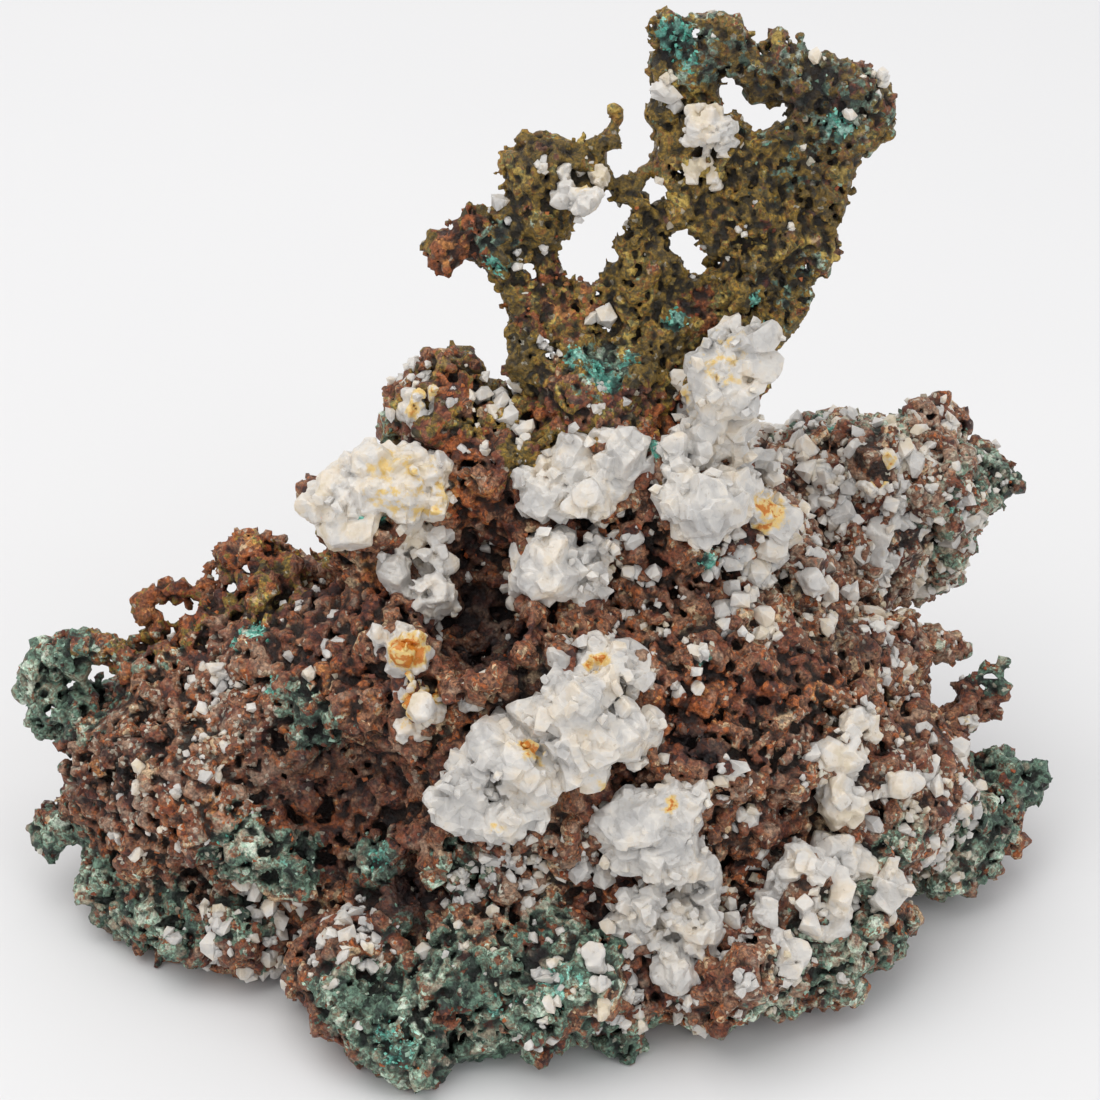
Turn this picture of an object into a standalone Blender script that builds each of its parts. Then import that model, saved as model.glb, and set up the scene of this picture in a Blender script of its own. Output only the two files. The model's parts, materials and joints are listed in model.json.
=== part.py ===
"""Native copper nugget: a ragged, pitted mass of copper that rests on the flat spots under its rim, with a
thin upright sheet, a thick arm, and clusters of white crystals seated in the metal.

The model is built in millimetres around a point under the middle of the mass and scaled to metres at the end.
+X runs along the nugget, -Y is its front, +Z is up.
"""

import math
import random

import bmesh
import bpy
import numpy as np
from mathutils import Euler, Matrix, Vector, noise
from mathutils.bvhtree import BVHTree

MM = 0.001
SEED = 7
# Gap where the mass is parted, and between a crystal and its seat.
GAP = 0.3
SEAT_GAP = 0.4
# Fineness of the skin before it is brought down to facets.
VOXEL = 0.8
# Nodules and pits scattered over the lumps: how many, and from how small to how large.
NODULES = 260
NODULE_RADIUS = (2.0, 4.2)
PITS = 110
PIT_RADIUS = (2.0, 3.8)
GRAIN_HEIGHT = 1.3
GRAIN_SIZE = 3.4
# The underside hangs this far below the floor before it is cut flat where it rests.
UNDERCUT = 1.2

# Lumps of the mass: centre (along, deep, high) and half-sizes.
BODY_LUMPS = {
    "heart": ((0, 3, 22), (40, 28, 28)),
    "summit_ridge": ((-5, 7, 47), (14, 11, 18)),
    "summit_right": ((10, 6, 46), (15, 12, 20)),
    "summit_top": ((7, 7, 61), (12, 6, 9)),
    "knob": ((-11, 8, 62), (7, 5, 5)),
    "left_step": ((-19.5, 3, 51), (7, 7, 7)),
    "left_flank": ((-36, -1, 19), (20, 17, 15)),
    "left_shoulder": ((-30, 4, 33), (11, 10, 10)),
    "left_front_toe": ((-36, -8, 6), (19, 12, 7)),
    "left_tip": ((-50, -1, 13), (7, 7, 7)),
    "front_shelf": ((-5, -24, 9), (24, 12, 9)),
    "front_left_lobe": ((-17, -31, 6), (9, 8, 6)),
    "front_right_toe": ((19, -18, 9), (22, 14, 9)),
    "right_flank": ((33, -1, 16), (17, 16, 13)),
    "right_toe": ((45, 2, 9), (11, 9, 7)),
    "right_brow": ((32, 8, 24), (13, 11, 10)),
    "saddle": ((20, 8, 40), (12, 10, 14)),
    "back_bulk": ((2, 22, 18), (34, 17, 19)),
    "back_left": ((-26, 20, 14), (19, 15, 13)),
    "back_summit": ((2, 18, 36), (20, 12, 16)),
}
ARM_LUMPS = {
    "arm_root": ((24, 17, 32), (11, 9, 15)),
    "arm_middle": ((33, 23, 34), (12, 9, 12)),
    "arm_top": ((39, 26, 44), (13, 7, 6)),
    "arm_end": ((45.5, 28, 38), (8, 7, 11)),
}
# Strands, spurs and rims: points along each (along, deep, high) and its radius.
STRANDS = {
    "fin": (((-30, -6, 50), (-26, -9, 54.5), (-21, -10, 58.5), (-17, -9, 61)), 2.0),
    "fin_foot": (((-30, -9, 46), (-25, -10, 50), (-20, -9, 54)), 2.4),
    "lattice_bar": (((-41, 6, 38), (-40, 8, 43), (-36, 8, 45.5), (-32, 7, 45)), 1.2),
    "lattice_rung": (((-36, 8, 45), (-35.5, 7, 39)), 1.2),
    "wire_loop": (((-42, 6, 37.5), (-45, 6, 39.5), (-49, 6, 38), (-47.5, 5, 35), (-44, 3, 33)), 1.0),
    "fan_top": (((-48, 2, 31), (-54, 3, 33), (-59, 4, 31.5), (-62, 4, 28)), 2.2),
    "fan_end": (((-62, 4, 28), (-62.5, 3, 25), (-60.5, 2, 22)), 1.8),
    "fan_low": (((-50, 2, 25), (-55, 3, 26), (-59, 3, 25)), 2.0),
    "left_spur": (((-52, -3, 10), (-58, -2, 12), (-61, -1, 10), (-62, -2, 7)), 2.4),
    "right_spur": (((42, 4, 18), (48, 8, 18.5), (53, 11, 20), (55, 13, 22), (55.5, 14, 24)), 2.3),
    "right_spur_bow": (((40, 8, 22), (44, 12, 26), (48, 14, 27), (51, 13, 24), (53, 11, 20)), 1.7),
    "right_tip": (((48, 4, 12), (55, 6, 12), (60, 6, 10)), 2.8),
    "right_low_tip": (((48, 1, 6), (54, 1, 7)), 2.6),
    "toe_a": (((-16, -33, 5), (-16, -36, 2)), 3.0),
    "toe_b": (((-4, -30, 5), (-2, -32.5, 3)), 3.0),
    "toe_c": (((6, -29, 5), (8, -31.5, 2)), 3.4),
    "arm_rag": (((47, 27, 28), (50, 28, 26)), 2.0),
    "arm_crest": (((26, 20, 45), (33, 24, 48), (40, 26, 49), (46, 28, 47)), 2.2),
    "arm_horn": (((48, 29, 44), (51, 30, 40)), 2.2),
}
# Hollows pressed into the skin: centre outside the metal, and half-sizes.
HOLLOWS = {
    "cavity": ((-8, -10, 47.5), (7, 12, 9)),
    "bowl": ((-23, -22, 28), (11, 9, 8)),
    "cleft": ((-15.5, -31, 21), (2.8, 12, 8)),
    "notch_right": ((17, -23, 37), (4, 5, 3)),
    "notch_low_right": ((31, -19, 25), (5, 5, 2.5)),
    "under_middle": ((0, 2, -4), (30, 20, 8)),
    "under_left": ((-44, -7, -3), (13, 10, 6)),
    "under_right": ((42, -3, -3), (13, 11, 6)),
    "under_front": ((2, -28, -2.5), (9, 9, 5)),
    "under_back": ((12, 38, -2.5), (9, 8, 5)),
}

# Clusters of crystals, each grown together from runs of blocks. A run is its centre, half-extents (across, up
# the slope), turn in degrees, number of blocks and block size.
CLUSTERS = {
    "crystals_summit": (
        ((4.5, -6, 62.3), (4.4, 4.6), 0, 5, 5.4),
        ((2.9, -12, 54.6), (3.2, 4.2), 10, 5, 5.0),
    ),
    "crystals_saddle": (
        ((19.8, 3, 69.5), (1.2, 7.0), -20, 6, 5.0),
        ((15.8, 0, 58.5), (2.4, 4.4), 0, 4, 4.8),
        ((22.7, 4, 52.3), (3.6, 4.2), 15, 4, 4.6),
    ),
    "crystals_cream_slab": (((-18.8, -2, 58.5), (5.8, 3.0), 12, 6, 5.4),),
    "crystals_left_drop": (((-15.2, -6, 50), (1.6, 3.6), 10, 4, 4.4),),
    "crystals_amber_upper": (((-16.9, -20, 49), (3.4, 1.2), 15, 3, 3.6),),
    "crystals_amber_lower": (((-15.2, -22, 41.8), (1.6, 2.4), -35, 3, 3.8),),
    "crystals_centre": (
        ((4.6, -20, 39.6), (4.2, 5.8), -10, 7, 6.4),
        ((-5.5, -26, 34.4), (4.8, 4.0), 20, 5, 6.0),
    ),
    "crystals_run": (
        ((12.2, -24, 26), (3.0, 4.4), 10, 4, 5.2),
        ((14.2, -27, 16), (3.4, 5.4), 12, 5, 5.4),
    ),
    "crystals_right_tall": (
        ((34.6, -8, 24.2), (1.2, 5.2), -5, 4, 4.0),
        ((39.7, -8, 22.4), (1.4, 2.0), 0, 2, 4.0),
    ),
    "crystals_right_low": (
        ((31.0, -18, 14), (3.6, 4.4), 0, 5, 4.8),
        ((37.6, -15, 14), (2.2, 2.8), 0, 3, 4.2),
        ((25.0, -24, 12), (2.0, 3.0), 15, 3, 3.8),
    ),
    "crystals_peach": (((21.8, -28, 9.2), (2.6, 0.9), 20, 3, 3.0),),
    "crystals_front": (((5.6, -34, 13.0), (1.4, 2.2), 0, 3, 4.0),),
    "crystals_right_edge": (((50, 7, 19.5), (1.4, 4.0), -40, 3, 4.0),),
    "crystals_sheet_top": (((17.9, 14, 94.5), (1.2, 3.2), -15, 3, 4.4),),
    "crystals_sheet_lobe": (((3.2, 12, 91), (1.8, 1.8), 30, 3, 3.6),),
    "crystals_knob": (((-14.4, 2, 67), (1.0, 1.8), 0, 2, 3.4),),
    "crystals_arm_crest": (((39.4, 14, 51.5), (1.8, 2.6), 0, 3, 4.0),),
    "crystals_arm_side": (((29.5, 14, 38), (2.8, 3.0), 0, 3, 4.2),),
    "crystals_arm_end": (((43, 18, 40), (3.0, 2.0), 20, 3, 4.0),),
}
# The way most crystals face, how far off they start, and how far they drop to reach the skin.
FACING = (0, -0.84, 0.54)
DROP_START = 40
MOST_DROP = 14
# Corners cut off each block, and how near its middle the cuts pass.
CORNER_CUTS = 2
CORNER_REACH = (0.62, 0.8)

# Rooms that part the mass at its forks: centre, half-sizes and turn.
SHEET_ROOM = ((0, 8, 107.5), (60, 30, 40), (0, math.radians(16), 0))
ARM_ROOM = ((48, 30, 45), (21, 22, 20), (0, 0, math.radians(-30)))
# Triangles that the whole mass is brought down to before each piece is cut from it.
BODY_TRIANGLES = 3700
SHEET_TRIANGLES = 9000
ARM_TRIANGLES = 3500
# Share of its triangles that each copper piece keeps once the seats are sunk in it.
SEATED_SHARE = 0.74
# Base colour, roughness and metallic value of the body, the sheet, the arm and the crystals.
COPPER_LOOKS = (
    ((0.17, 0.07, 0.045), 0.75, 0.2),
    ((0.15, 0.09, 0.03), 0.75, 0.2),
    ((0.12, 0.09, 0.06), 0.75, 0.2),
)
CRYSTAL_LOOK = ((0.82, 0.8, 0.75), 0.35, 0.0)

# Sheet: outline in its own plane (across, up from its foot), thickness and lean.
SHEET_FOOT = (0, 8, 64.5)
SHEET_LEAN = math.radians(16)
SHEET_THICKNESS = 3.4
SHEET_OUTLINE = (
    (-4, -6), (-4, 8), (-3, 11.5), (-5, 12.5), (-9, 18), (-12.5, 15), (-14, 18), (-10.5, 21),
    (-9.5, 23.5), (-7, 22), (-4.5, 24), (-5, 28), (-1.5, 31), (0.5, 29.5), (5.5, 31), (7.5, 34),
    (8, 31), (6.5, 29), (6.5, 26), (9.5, 26), (12.5, 28), (13, 31), (11.5, 33), (11, 39), (12, 41),
    (11.5, 43.5), (13, 45), (16, 42.5), (18, 44.5), (21.5, 44), (22, 40.5), (23.5, 39), (24.5, 42),
    (26.5, 42), (27, 40), (28, 42), (29, 40.5), (36, 38.5), (38.5, 35), (38.5, 30.5), (35.5, 29),
    (34, 25.5), (33, 17.5), (29.5, 14), (29.5, 11.5), (26, 5.5), (24.5, 0), (22, 0), (21.5, 4),
    (22.5, 8.5), (20.5, 9), (14.5, 5), (15.5, 0.5), (16, -6), (10, -12), (2, -12),
)
SHEET_HOLES = {
    "big": ((2.5, 23.5), (5.5, 25), (9.3, 22), (7.5, 17), (6.5, 14.5), (0.5, 14), (2, 19)),
    "bridge": ((10.5, 25), (12.5, 27), (14, 24.5), (12.5, 22.5)),
    "upper_right": ((21.5, 35), (28, 36), (27.5, 33), (23, 29.5)),
    "upper_slot": ((18.5, 35), (20.5, 39.5), (22, 37), (20, 33)),
    "middle": ((13, 19), (15, 21), (17.5, 18.5), (18.7, 16), (17, 13.5), (14.5, 16.5)),
    "small_bridge": ((13.5, 25.5), (15, 27), (15.5, 26.5), (14.5, 25)),
    "slit": ((5.5, 9.5), (6.5, 10.5), (7, 9.5), (6.5, 7.5)),
    "foot_window": ((-1.5, 8), (1, 8), (0.5, 5.5), (-1, 4)),
    "left_eye": ((-3.5, 16), (-2, 17), (-2.5, 14), (-3.5, 13.5)),
}
# Thick rims and knots on the sheet: points in its plane (across, up, out of the front) and radius.
SHEET_RIMS = {
    "top_right": (((28, 37, 0.5), (32, 37, 1), (35.5, 35.5, 1), (36, 31.5, 0.5)), 2.0),
    "top_left": (((13.5, 42, 0), (16, 40.5, 0.5), (20, 41, 0)), 1.7),
    "left_lobe": (((-1, 28, 1), (-2, 24, 1.5), (-1, 20, 1)), 2.2),
    "left_tip": (((-7, 20, 0), (-11.5, 18, 0.5)), 1.6),
    "belly": (((23, 24, 0), (26, 19, 0.5), (22, 14, 0.5)), 3.0),
    "foot_edge": (((-2, 6, 1), (-2, 0, 2), (-1.5, -8, 2)), 2.0),
    "foot_column": (((10, 3, 1), (9, -4, 1.5), (8, -10, 1)), 4.0),
    "prong": (((25, 8, 0), (23.5, 2.5, 0)), 1.5),
}


def clear_scene():
    for obj in list(bpy.data.objects):
        bpy.data.objects.remove(obj)


def collection(name, helper=False):
    made = bpy.data.collections.new(name)
    bpy.context.scene.collection.children.link(made)
    made.hide_render = helper
    return made


def object_of(name, bm, home):
    mesh = bpy.data.meshes.new(name)
    bm.to_mesh(mesh)
    bm.free()
    obj = bpy.data.objects.new(name, mesh)
    home.objects.link(obj)
    return obj


def bake(obj):
    """The object's modifiers, worked into its mesh."""
    graph = bpy.context.evaluated_depsgraph_get()
    mesh = bpy.data.meshes.new_from_object(obj.evaluated_get(graph))
    obj.modifiers.clear()
    obj.data = mesh


def remesh(obj, voxel):
    modifier = obj.modifiers.new("skin", "REMESH")
    modifier.mode = "VOXEL"
    modifier.voxel_size = voxel
    bake(obj)


def decimate(obj, share):
    modifier = obj.modifiers.new("facets", "DECIMATE")
    modifier.ratio = share
    modifier.use_collapse_triangulate = True
    bake(obj)


def boolean(obj, operation, cutter):
    modifier = obj.modifiers.new(operation.lower(), "BOOLEAN")
    modifier.operation = operation
    modifier.object = cutter
    modifier.solver = "EXACT"
    bake(obj)


def ball_mesh(subdivisions):
    bm = bmesh.new()
    bmesh.ops.create_icosphere(bm, subdivisions=subdivisions, radius=1)
    mesh = bpy.data.meshes.new("ball")
    bm.to_mesh(mesh)
    bm.free()
    return mesh


def add_copies(bm, mesh, places):
    for place in places:
        copy = mesh.copy()
        copy.transform(place)
        bm.from_mesh(copy)
        bpy.data.meshes.remove(copy)


def lump_place(centre, radii, turn=(0, 0, 0)):
    scale = Matrix.Diagonal((*radii, 1))
    return Matrix.Translation(centre) @ Euler(turn).to_matrix().to_4x4() @ scale


def strand_places(points, radius, rng, frame=Matrix.Identity(4)):
    """Knots of slightly different size, close together along the strand."""
    corners = [frame @ Vector(point) for point in points]
    places = []
    for start, end in zip(corners, corners[1:]):
        steps = max(1, round((end - start).length / (0.9 * radius)))
        for step in range(steps + 1):
            size = radius * rng.uniform(0.8, 1.2)
            places.append(lump_place(start.lerp(end, step / steps), (size, size, size)))
    return places


def sheet_frame():
    """From the sheet's plane (across, up, out of the front) to the nugget."""
    lean = SHEET_LEAN
    columns = Matrix(((1, 0, 0), (0, math.sin(lean), -math.cos(lean)), (0, math.cos(lean), math.sin(lean))))
    return Matrix.Translation(SHEET_FOOT) @ columns.to_4x4()


def sheet_plate(home):
    curve = bpy.data.curves.new("sheet_outline", "CURVE")
    curve.dimensions = "2D"
    curve.fill_mode = "BOTH"
    curve.extrude = SHEET_THICKNESS / 2
    for outline in (SHEET_OUTLINE, *SHEET_HOLES.values()):
        spline = curve.splines.new("POLY")
        spline.points.add(len(outline) - 1)
        for point, (across, up) in zip(spline.points, outline):
            point.co = (across, up, 0, 1)
        spline.use_cyclic_u = True
    drawn = bpy.data.objects.new("sheet_outline", curve)
    home.objects.link(drawn)
    bpy.context.view_layer.update()
    graph = bpy.context.evaluated_depsgraph_get()
    mesh = bpy.data.meshes.new_from_object(drawn.evaluated_get(graph))
    bpy.data.objects.remove(drawn)
    mesh.transform(sheet_frame())
    bm = bmesh.new()
    bm.from_mesh(mesh)
    bmesh.ops.remove_doubles(bm, verts=bm.verts, dist=0.01)
    return bm


def surface_spots(lumps, count, rng):
    """Random points on the outside of a group of lumps, with the way out at each."""
    shapes = list(lumps.values())
    weights = [sum(radii) ** 2 for _, radii in shapes]
    spots = []
    while len(spots) < count:
        centre, radii = rng.choices(shapes, weights)[0]
        way = Vector([rng.gauss(0, 1) for _ in range(3)]).normalized()
        spot = Vector([c + r * w for c, r, w in zip(centre, radii, way)])
        buried = any(
            sum(((s - c) / r) ** 2 for s, c, r in zip(spot, other, sizes)) < 0.95 for other, sizes in shapes
        )
        if spot.z > 2 and not buried:
            spots.append((spot, Vector([w / r for w, r in zip(way, radii)]).normalized()))
    return spots


def skin_points(obj):
    points = np.empty(len(obj.data.vertices) * 3, np.float32)
    obj.data.vertices.foreach_get("co", points)
    return points.reshape(-1, 3)


def press(points, centre, radii):
    """Pushes the skin inside an ellipsoid out to its surface, which leaves a hollow of that form."""
    reach = (points - np.array(centre)) / np.array(radii)
    depth = np.linalg.norm(reach, axis=1)
    inside = (depth < 1) & (depth > 0)
    points[inside] = np.array(centre) + reach[inside] / depth[inside, None] * np.array(radii)


def flatten_underside(obj):
    """Brings whatever hangs below the floor up to a little under it."""
    points = skin_points(obj)
    points[:, 2] = np.maximum(points[:, 2], -UNDERCUT)
    obj.data.vertices.foreach_set("co", points.ravel())


def hollow_out(obj, hollows):
    points = skin_points(obj)
    for centre, radii in hollows:
        press(points, centre, radii)
    obj.data.vertices.foreach_set("co", points.ravel())


def roughen(obj, height, cell):
    """Grains the skin: rounded cells of about the given size, raised by up to the given height."""
    points = skin_points(obj)
    ways = np.empty(points.size, np.float32)
    obj.data.vertex_normals.foreach_get("vector", ways)
    rise = []
    for point in points:
        spot = Vector(point) / cell
        rise.append(0.7 - 1.6 * noise.voronoi(spot)[0][0] + 0.8 * noise.noise(spot / 2.5))
    points += ways.reshape(-1, 3) * height * np.array(rise, np.float32)[:, None]
    obj.data.vertices.foreach_set("co", points.ravel())


def copper_mass(home):
    rng = random.Random(SEED)
    bm = sheet_plate(home)
    lumps = {**BODY_LUMPS, **ARM_LUMPS}
    add_copies(bm, ball_mesh(4), [lump_place(centre, radii) for centre, radii in lumps.values()])
    knots = []
    for points, radius in STRANDS.values():
        knots.extend(strand_places(points, radius, rng))
    for points, radius in SHEET_RIMS.values():
        knots.extend(strand_places(points, radius, rng, sheet_frame()))
    for spot, way in surface_spots(lumps, NODULES, rng):
        size = rng.uniform(*NODULE_RADIUS)
        radii = [size * rng.uniform(0.8, 1.3) for _ in range(3)]
        knots.append(lump_place(spot - way * 0.4 * size, radii, [rng.uniform(0, 3) for _ in range(3)]))
    add_copies(bm, ball_mesh(3), knots)
    obj = object_of("mass", bm, home)
    remesh(obj, VOXEL)
    flatten_underside(obj)
    pits = list(HOLLOWS.values())
    for spot, way in surface_spots(lumps, PITS, rng):
        size = rng.uniform(*PIT_RADIUS)
        pits.append((spot + way * 0.45 * size, [size * rng.uniform(0.8, 1.3) for _ in range(3)]))
    hollow_out(obj, pits)
    roughen(obj, GRAIN_HEIGHT, GRAIN_SIZE)
    remesh(obj, VOXEL)
    return obj


def block(name, centre, halves, turn, home, grow=0):
    bm = bmesh.new()
    scale = Matrix.Diagonal((*[2 * (half + grow) for half in halves], 1))
    place = Matrix.Translation(centre) @ Euler(turn).to_matrix().to_4x4() @ scale
    bmesh.ops.create_cube(bm, size=1, matrix=place)
    return object_of(name, bm, home)


def keep_largest(obj):
    """Drops crumbs that a cut left loose."""
    bm = bmesh.new()
    bm.from_mesh(obj.data)
    left = set(bm.verts)
    bodies = []
    while left:
        body = set()
        front = [left.pop()]
        while front:
            vert = front.pop()
            body.add(vert)
            near = {edge.other_vert(vert) for edge in vert.link_edges} & left
            left -= near
            front.extend(near)
        bodies.append(body)
    largest = max(bodies, key=len)
    bmesh.ops.delete(bm, geom=[vert for vert in bm.verts if vert not in largest], context="VERTS")
    bm.to_mesh(obj.data)
    bm.free()


def piece_of(mass, name, triangles, home):
    obj = bpy.data.objects.new(name, mass.data.copy())
    home.objects.link(obj)
    obj.data.calc_loop_triangles()
    decimate(obj, triangles / len(obj.data.loop_triangles))
    return obj


def split_copper(mass, home, helpers):
    """The mass parted at its two forks, with a gap at each."""
    sheet_room = block("sheet_room", *SHEET_ROOM, helpers)
    arm_room = block("arm_room", *ARM_ROOM, helpers)
    body = piece_of(mass, "copper_body", BODY_TRIANGLES, home)
    for room in (SHEET_ROOM, ARM_ROOM):
        grown = block("grown_room", *room, helpers, grow=GAP)
        boolean(body, "DIFFERENCE", grown)
        bpy.data.objects.remove(grown)
    sheet = piece_of(mass, "copper_sheet", SHEET_TRIANGLES, home)
    boolean(sheet, "INTERSECT", sheet_room)
    arm = piece_of(mass, "copper_arm", ARM_TRIANGLES, home)
    boolean(arm, "INTERSECT", arm_room)
    for obj in (body, sheet, arm):
        keep_largest(obj)
    return body, sheet, arm


def crystal_mesh(halves, turn, rng, grow):
    """A block with flat faces: a box with its corners cut off, every face moved out by the grown distance."""
    bm = bmesh.new()
    scale = Matrix.Diagonal((*[2 * (half + grow) for half in halves], 1))
    bmesh.ops.create_cube(bm, size=1, matrix=scale)
    for _ in range(CORNER_CUTS):
        way = Vector([rng.choice((-1, 1)) * rng.uniform(0.5, 1.0) for _ in range(3)]).normalized()
        reach = sum(abs(w) * half for w, half in zip(way, halves))
        spot = way * (rng.uniform(*CORNER_REACH) * reach + grow)
        everything = bm.verts[:] + bm.edges[:] + bm.faces[:]
        cut = bmesh.ops.bisect_plane(bm, geom=everything, plane_co=spot, plane_no=way, clear_outer=True)
        edges = [item for item in cut["geom_cut"] if isinstance(item, bmesh.types.BMEdge)]
        bmesh.ops.edgeloop_fill(bm, edges=edges)
    bmesh.ops.recalc_face_normals(bm, faces=bm.faces)
    bm.transform(turn)
    return bm


def block_spots(extents, turn, count, skin, centre, rng):
    """Where the blocks of a cluster sit: spread evenly over an ellipse, and dropped onto the skin."""
    facing = Vector(FACING).normalized()
    across = Vector((1, 0, 0))
    up = facing.cross(across)
    spots = []
    for index in range(count):
        ring = math.sqrt((index + 0.3) / count)
        angle = index * math.radians(137.5) + rng.uniform(-0.3, 0.3)
        right = extents[0] * ring * math.cos(angle)
        high = extents[1] * ring * math.sin(angle)
        lean = math.radians(turn)
        shift = across * (right * math.cos(lean) - high * math.sin(lean))
        shift += up * (right * math.sin(lean) + high * math.cos(lean))
        level = Vector(centre) + shift
        hit = skin.ray_cast(level + facing * DROP_START, -facing)[0]
        near = hit is not None and (hit - level).length < MOST_DROP
        spots.append(hit if near else level)
    return spots


def cluster_blocks(name, runs, skin, grow):
    """The blocks of one cluster; the same name gives the same blocks, grown or not."""
    rng = random.Random(name)
    for centre, extents, turn, count, size in runs:
        for spot in block_spots(extents, turn, count, skin, centre, rng):
            halves = [0.5 * size * rng.uniform(0.75, 1.25) for _ in range(3)]
            tumble = Euler([rng.uniform(0, math.pi) for _ in range(3)]).to_matrix().to_4x4()
            lift = Vector(FACING) * rng.uniform(0.05, 0.3) * size
            yield crystal_mesh(halves, Matrix.Translation(spot + lift) @ tumble, rng, grow)


def cluster(name, runs, skin, home, grow=0):
    """A cluster's blocks joined into one solid."""
    whole = None
    for bm in cluster_blocks(name, runs, skin, grow):
        piece = object_of(name, bm, home)
        if whole is None:
            whole = piece
            continue
        boolean(whole, "UNION", piece)
        bpy.data.objects.remove(piece)
    keep_largest(whole)
    return whole


def bounds(obj):
    points = skin_points(obj)
    return points.min(axis=0), points.max(axis=0)


def seat(crystals, copper, helpers, skin):
    """Sinks a cluster's seat, a little wider than the cluster, into each copper piece that it reaches."""
    grown = cluster(crystals.name, CLUSTERS[crystals.name], skin, helpers, SEAT_GAP)
    low, high = bounds(grown)
    for piece in copper:
        piece_low, piece_high = bounds(piece)
        if (low < piece_high).all() and (high > piece_low).all():
            boolean(piece, "DIFFERENCE", grown)
    bpy.data.objects.remove(grown)


def settle(pieces, home):
    """Puts the nugget's origin under the middle of its box, and turns millimetres into metres."""
    lows, highs = zip(*[bounds(obj) for obj in pieces])
    low = np.min(lows, axis=0)
    high = np.max(highs, axis=0)
    shift = Vector((-(low[0] + high[0]) / 2, -(low[1] + high[1]) / 2, -low[2]))
    origin = bpy.data.objects.new("nugget_origin", None)
    home.objects.link(origin)
    for obj in pieces:
        middle = Vector((bounds(obj)[0] + bounds(obj)[1]) / 2)
        obj.data.transform(Matrix.Scale(MM, 4) @ Matrix.Translation(-middle))
        obj.location = (middle + shift) * MM
        obj.parent = origin
    bpy.context.scene["shift"] = [axis * MM for axis in shift]


def material(name, color, roughness, metallic):
    made = bpy.data.materials.new(name)
    made.use_nodes = True
    shader = made.node_tree.nodes["Principled BSDF"]
    shader.inputs["Base Color"].default_value = (*color, 1)
    shader.inputs["Roughness"].default_value = roughness
    shader.inputs["Metallic"].default_value = metallic
    return made


def main():
    clear_scene()
    nugget = collection("native_copper_nugget")
    helpers = collection("cutters", helper=True)
    mass = copper_mass(nugget)
    copper = split_copper(mass, nugget, helpers)
    skin = BVHTree.FromObject(mass, bpy.context.evaluated_depsgraph_get())
    bpy.data.objects.remove(mass)
    crystals = []
    for name, runs in CLUSTERS.items():
        crystals.append(cluster(name, runs, skin, nugget))
        seat(crystals[-1], copper, helpers, skin)
    for obj in copper:
        keep_largest(obj)
        decimate(obj, SEATED_SHARE)
    below = block("below_floor", (0, 0, -50), (100, 100, 50), (0, 0, 0), helpers)
    boolean(copper[0], "DIFFERENCE", below)
    for obj in list(helpers.objects):
        bpy.data.objects.remove(obj)
    settle([*copper, *crystals], nugget)
    for obj, look in zip(copper, COPPER_LOOKS):
        obj.data.materials.append(material(obj.name, *look))
    for obj in crystals:
        obj.data.materials.append(material(obj.name, *CRYSTAL_LOOK))


main()
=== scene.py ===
"""Native copper nugget with white crystals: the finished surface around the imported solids.

Lengths inside this script are in metres unless a name ends in _mm. The skins are made in
distance grids: a solid becomes a grid of signed distances, grains and twigs are added to it,
pores are cut from it, and the grid becomes a mesh again.
"""

import json
import logging
import math
from collections.abc import Iterable
from dataclasses import dataclass, field
from enum import Enum

import bmesh
import bpy
import numpy as np
import openvdb
from mathutils import Matrix, Vector
from mathutils.bvhtree import BVHTree
from mathutils.kdtree import KDTree

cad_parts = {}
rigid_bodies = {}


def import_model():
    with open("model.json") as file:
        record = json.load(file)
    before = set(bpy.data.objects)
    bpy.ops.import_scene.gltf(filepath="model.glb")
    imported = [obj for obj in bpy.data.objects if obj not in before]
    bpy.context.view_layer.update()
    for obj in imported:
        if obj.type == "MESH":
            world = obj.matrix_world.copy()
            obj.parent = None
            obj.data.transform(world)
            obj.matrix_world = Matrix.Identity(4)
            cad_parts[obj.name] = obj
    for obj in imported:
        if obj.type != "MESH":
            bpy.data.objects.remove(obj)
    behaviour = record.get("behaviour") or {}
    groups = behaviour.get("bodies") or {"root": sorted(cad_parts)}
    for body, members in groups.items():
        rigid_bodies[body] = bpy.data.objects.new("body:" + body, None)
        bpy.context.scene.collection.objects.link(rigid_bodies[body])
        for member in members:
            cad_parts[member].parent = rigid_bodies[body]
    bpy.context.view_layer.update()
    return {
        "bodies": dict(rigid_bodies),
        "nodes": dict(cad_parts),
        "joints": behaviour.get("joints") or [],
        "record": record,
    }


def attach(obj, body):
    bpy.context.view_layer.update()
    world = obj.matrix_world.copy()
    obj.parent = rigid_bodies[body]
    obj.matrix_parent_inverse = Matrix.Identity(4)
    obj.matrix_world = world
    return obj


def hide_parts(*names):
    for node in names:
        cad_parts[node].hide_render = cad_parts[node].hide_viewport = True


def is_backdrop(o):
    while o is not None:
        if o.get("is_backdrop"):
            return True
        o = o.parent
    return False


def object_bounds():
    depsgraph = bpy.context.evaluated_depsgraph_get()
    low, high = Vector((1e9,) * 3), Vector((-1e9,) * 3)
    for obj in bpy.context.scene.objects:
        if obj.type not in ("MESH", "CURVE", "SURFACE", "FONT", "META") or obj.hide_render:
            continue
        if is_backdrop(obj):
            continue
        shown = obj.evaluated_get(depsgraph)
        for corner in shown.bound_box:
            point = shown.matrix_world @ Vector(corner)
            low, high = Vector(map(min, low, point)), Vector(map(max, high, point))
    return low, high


LOG = logging.getLogger("nugget")
MM = 0.001
CM2_PER_M2 = 1e4
WELD = 1e-6

Array = np.ndarray
Pair = tuple[Array, Array]
Rng = np.random.Generator
Obj = bpy.types.Object
Material = bpy.types.Material
Socket = bpy.types.NodeSocket

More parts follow.
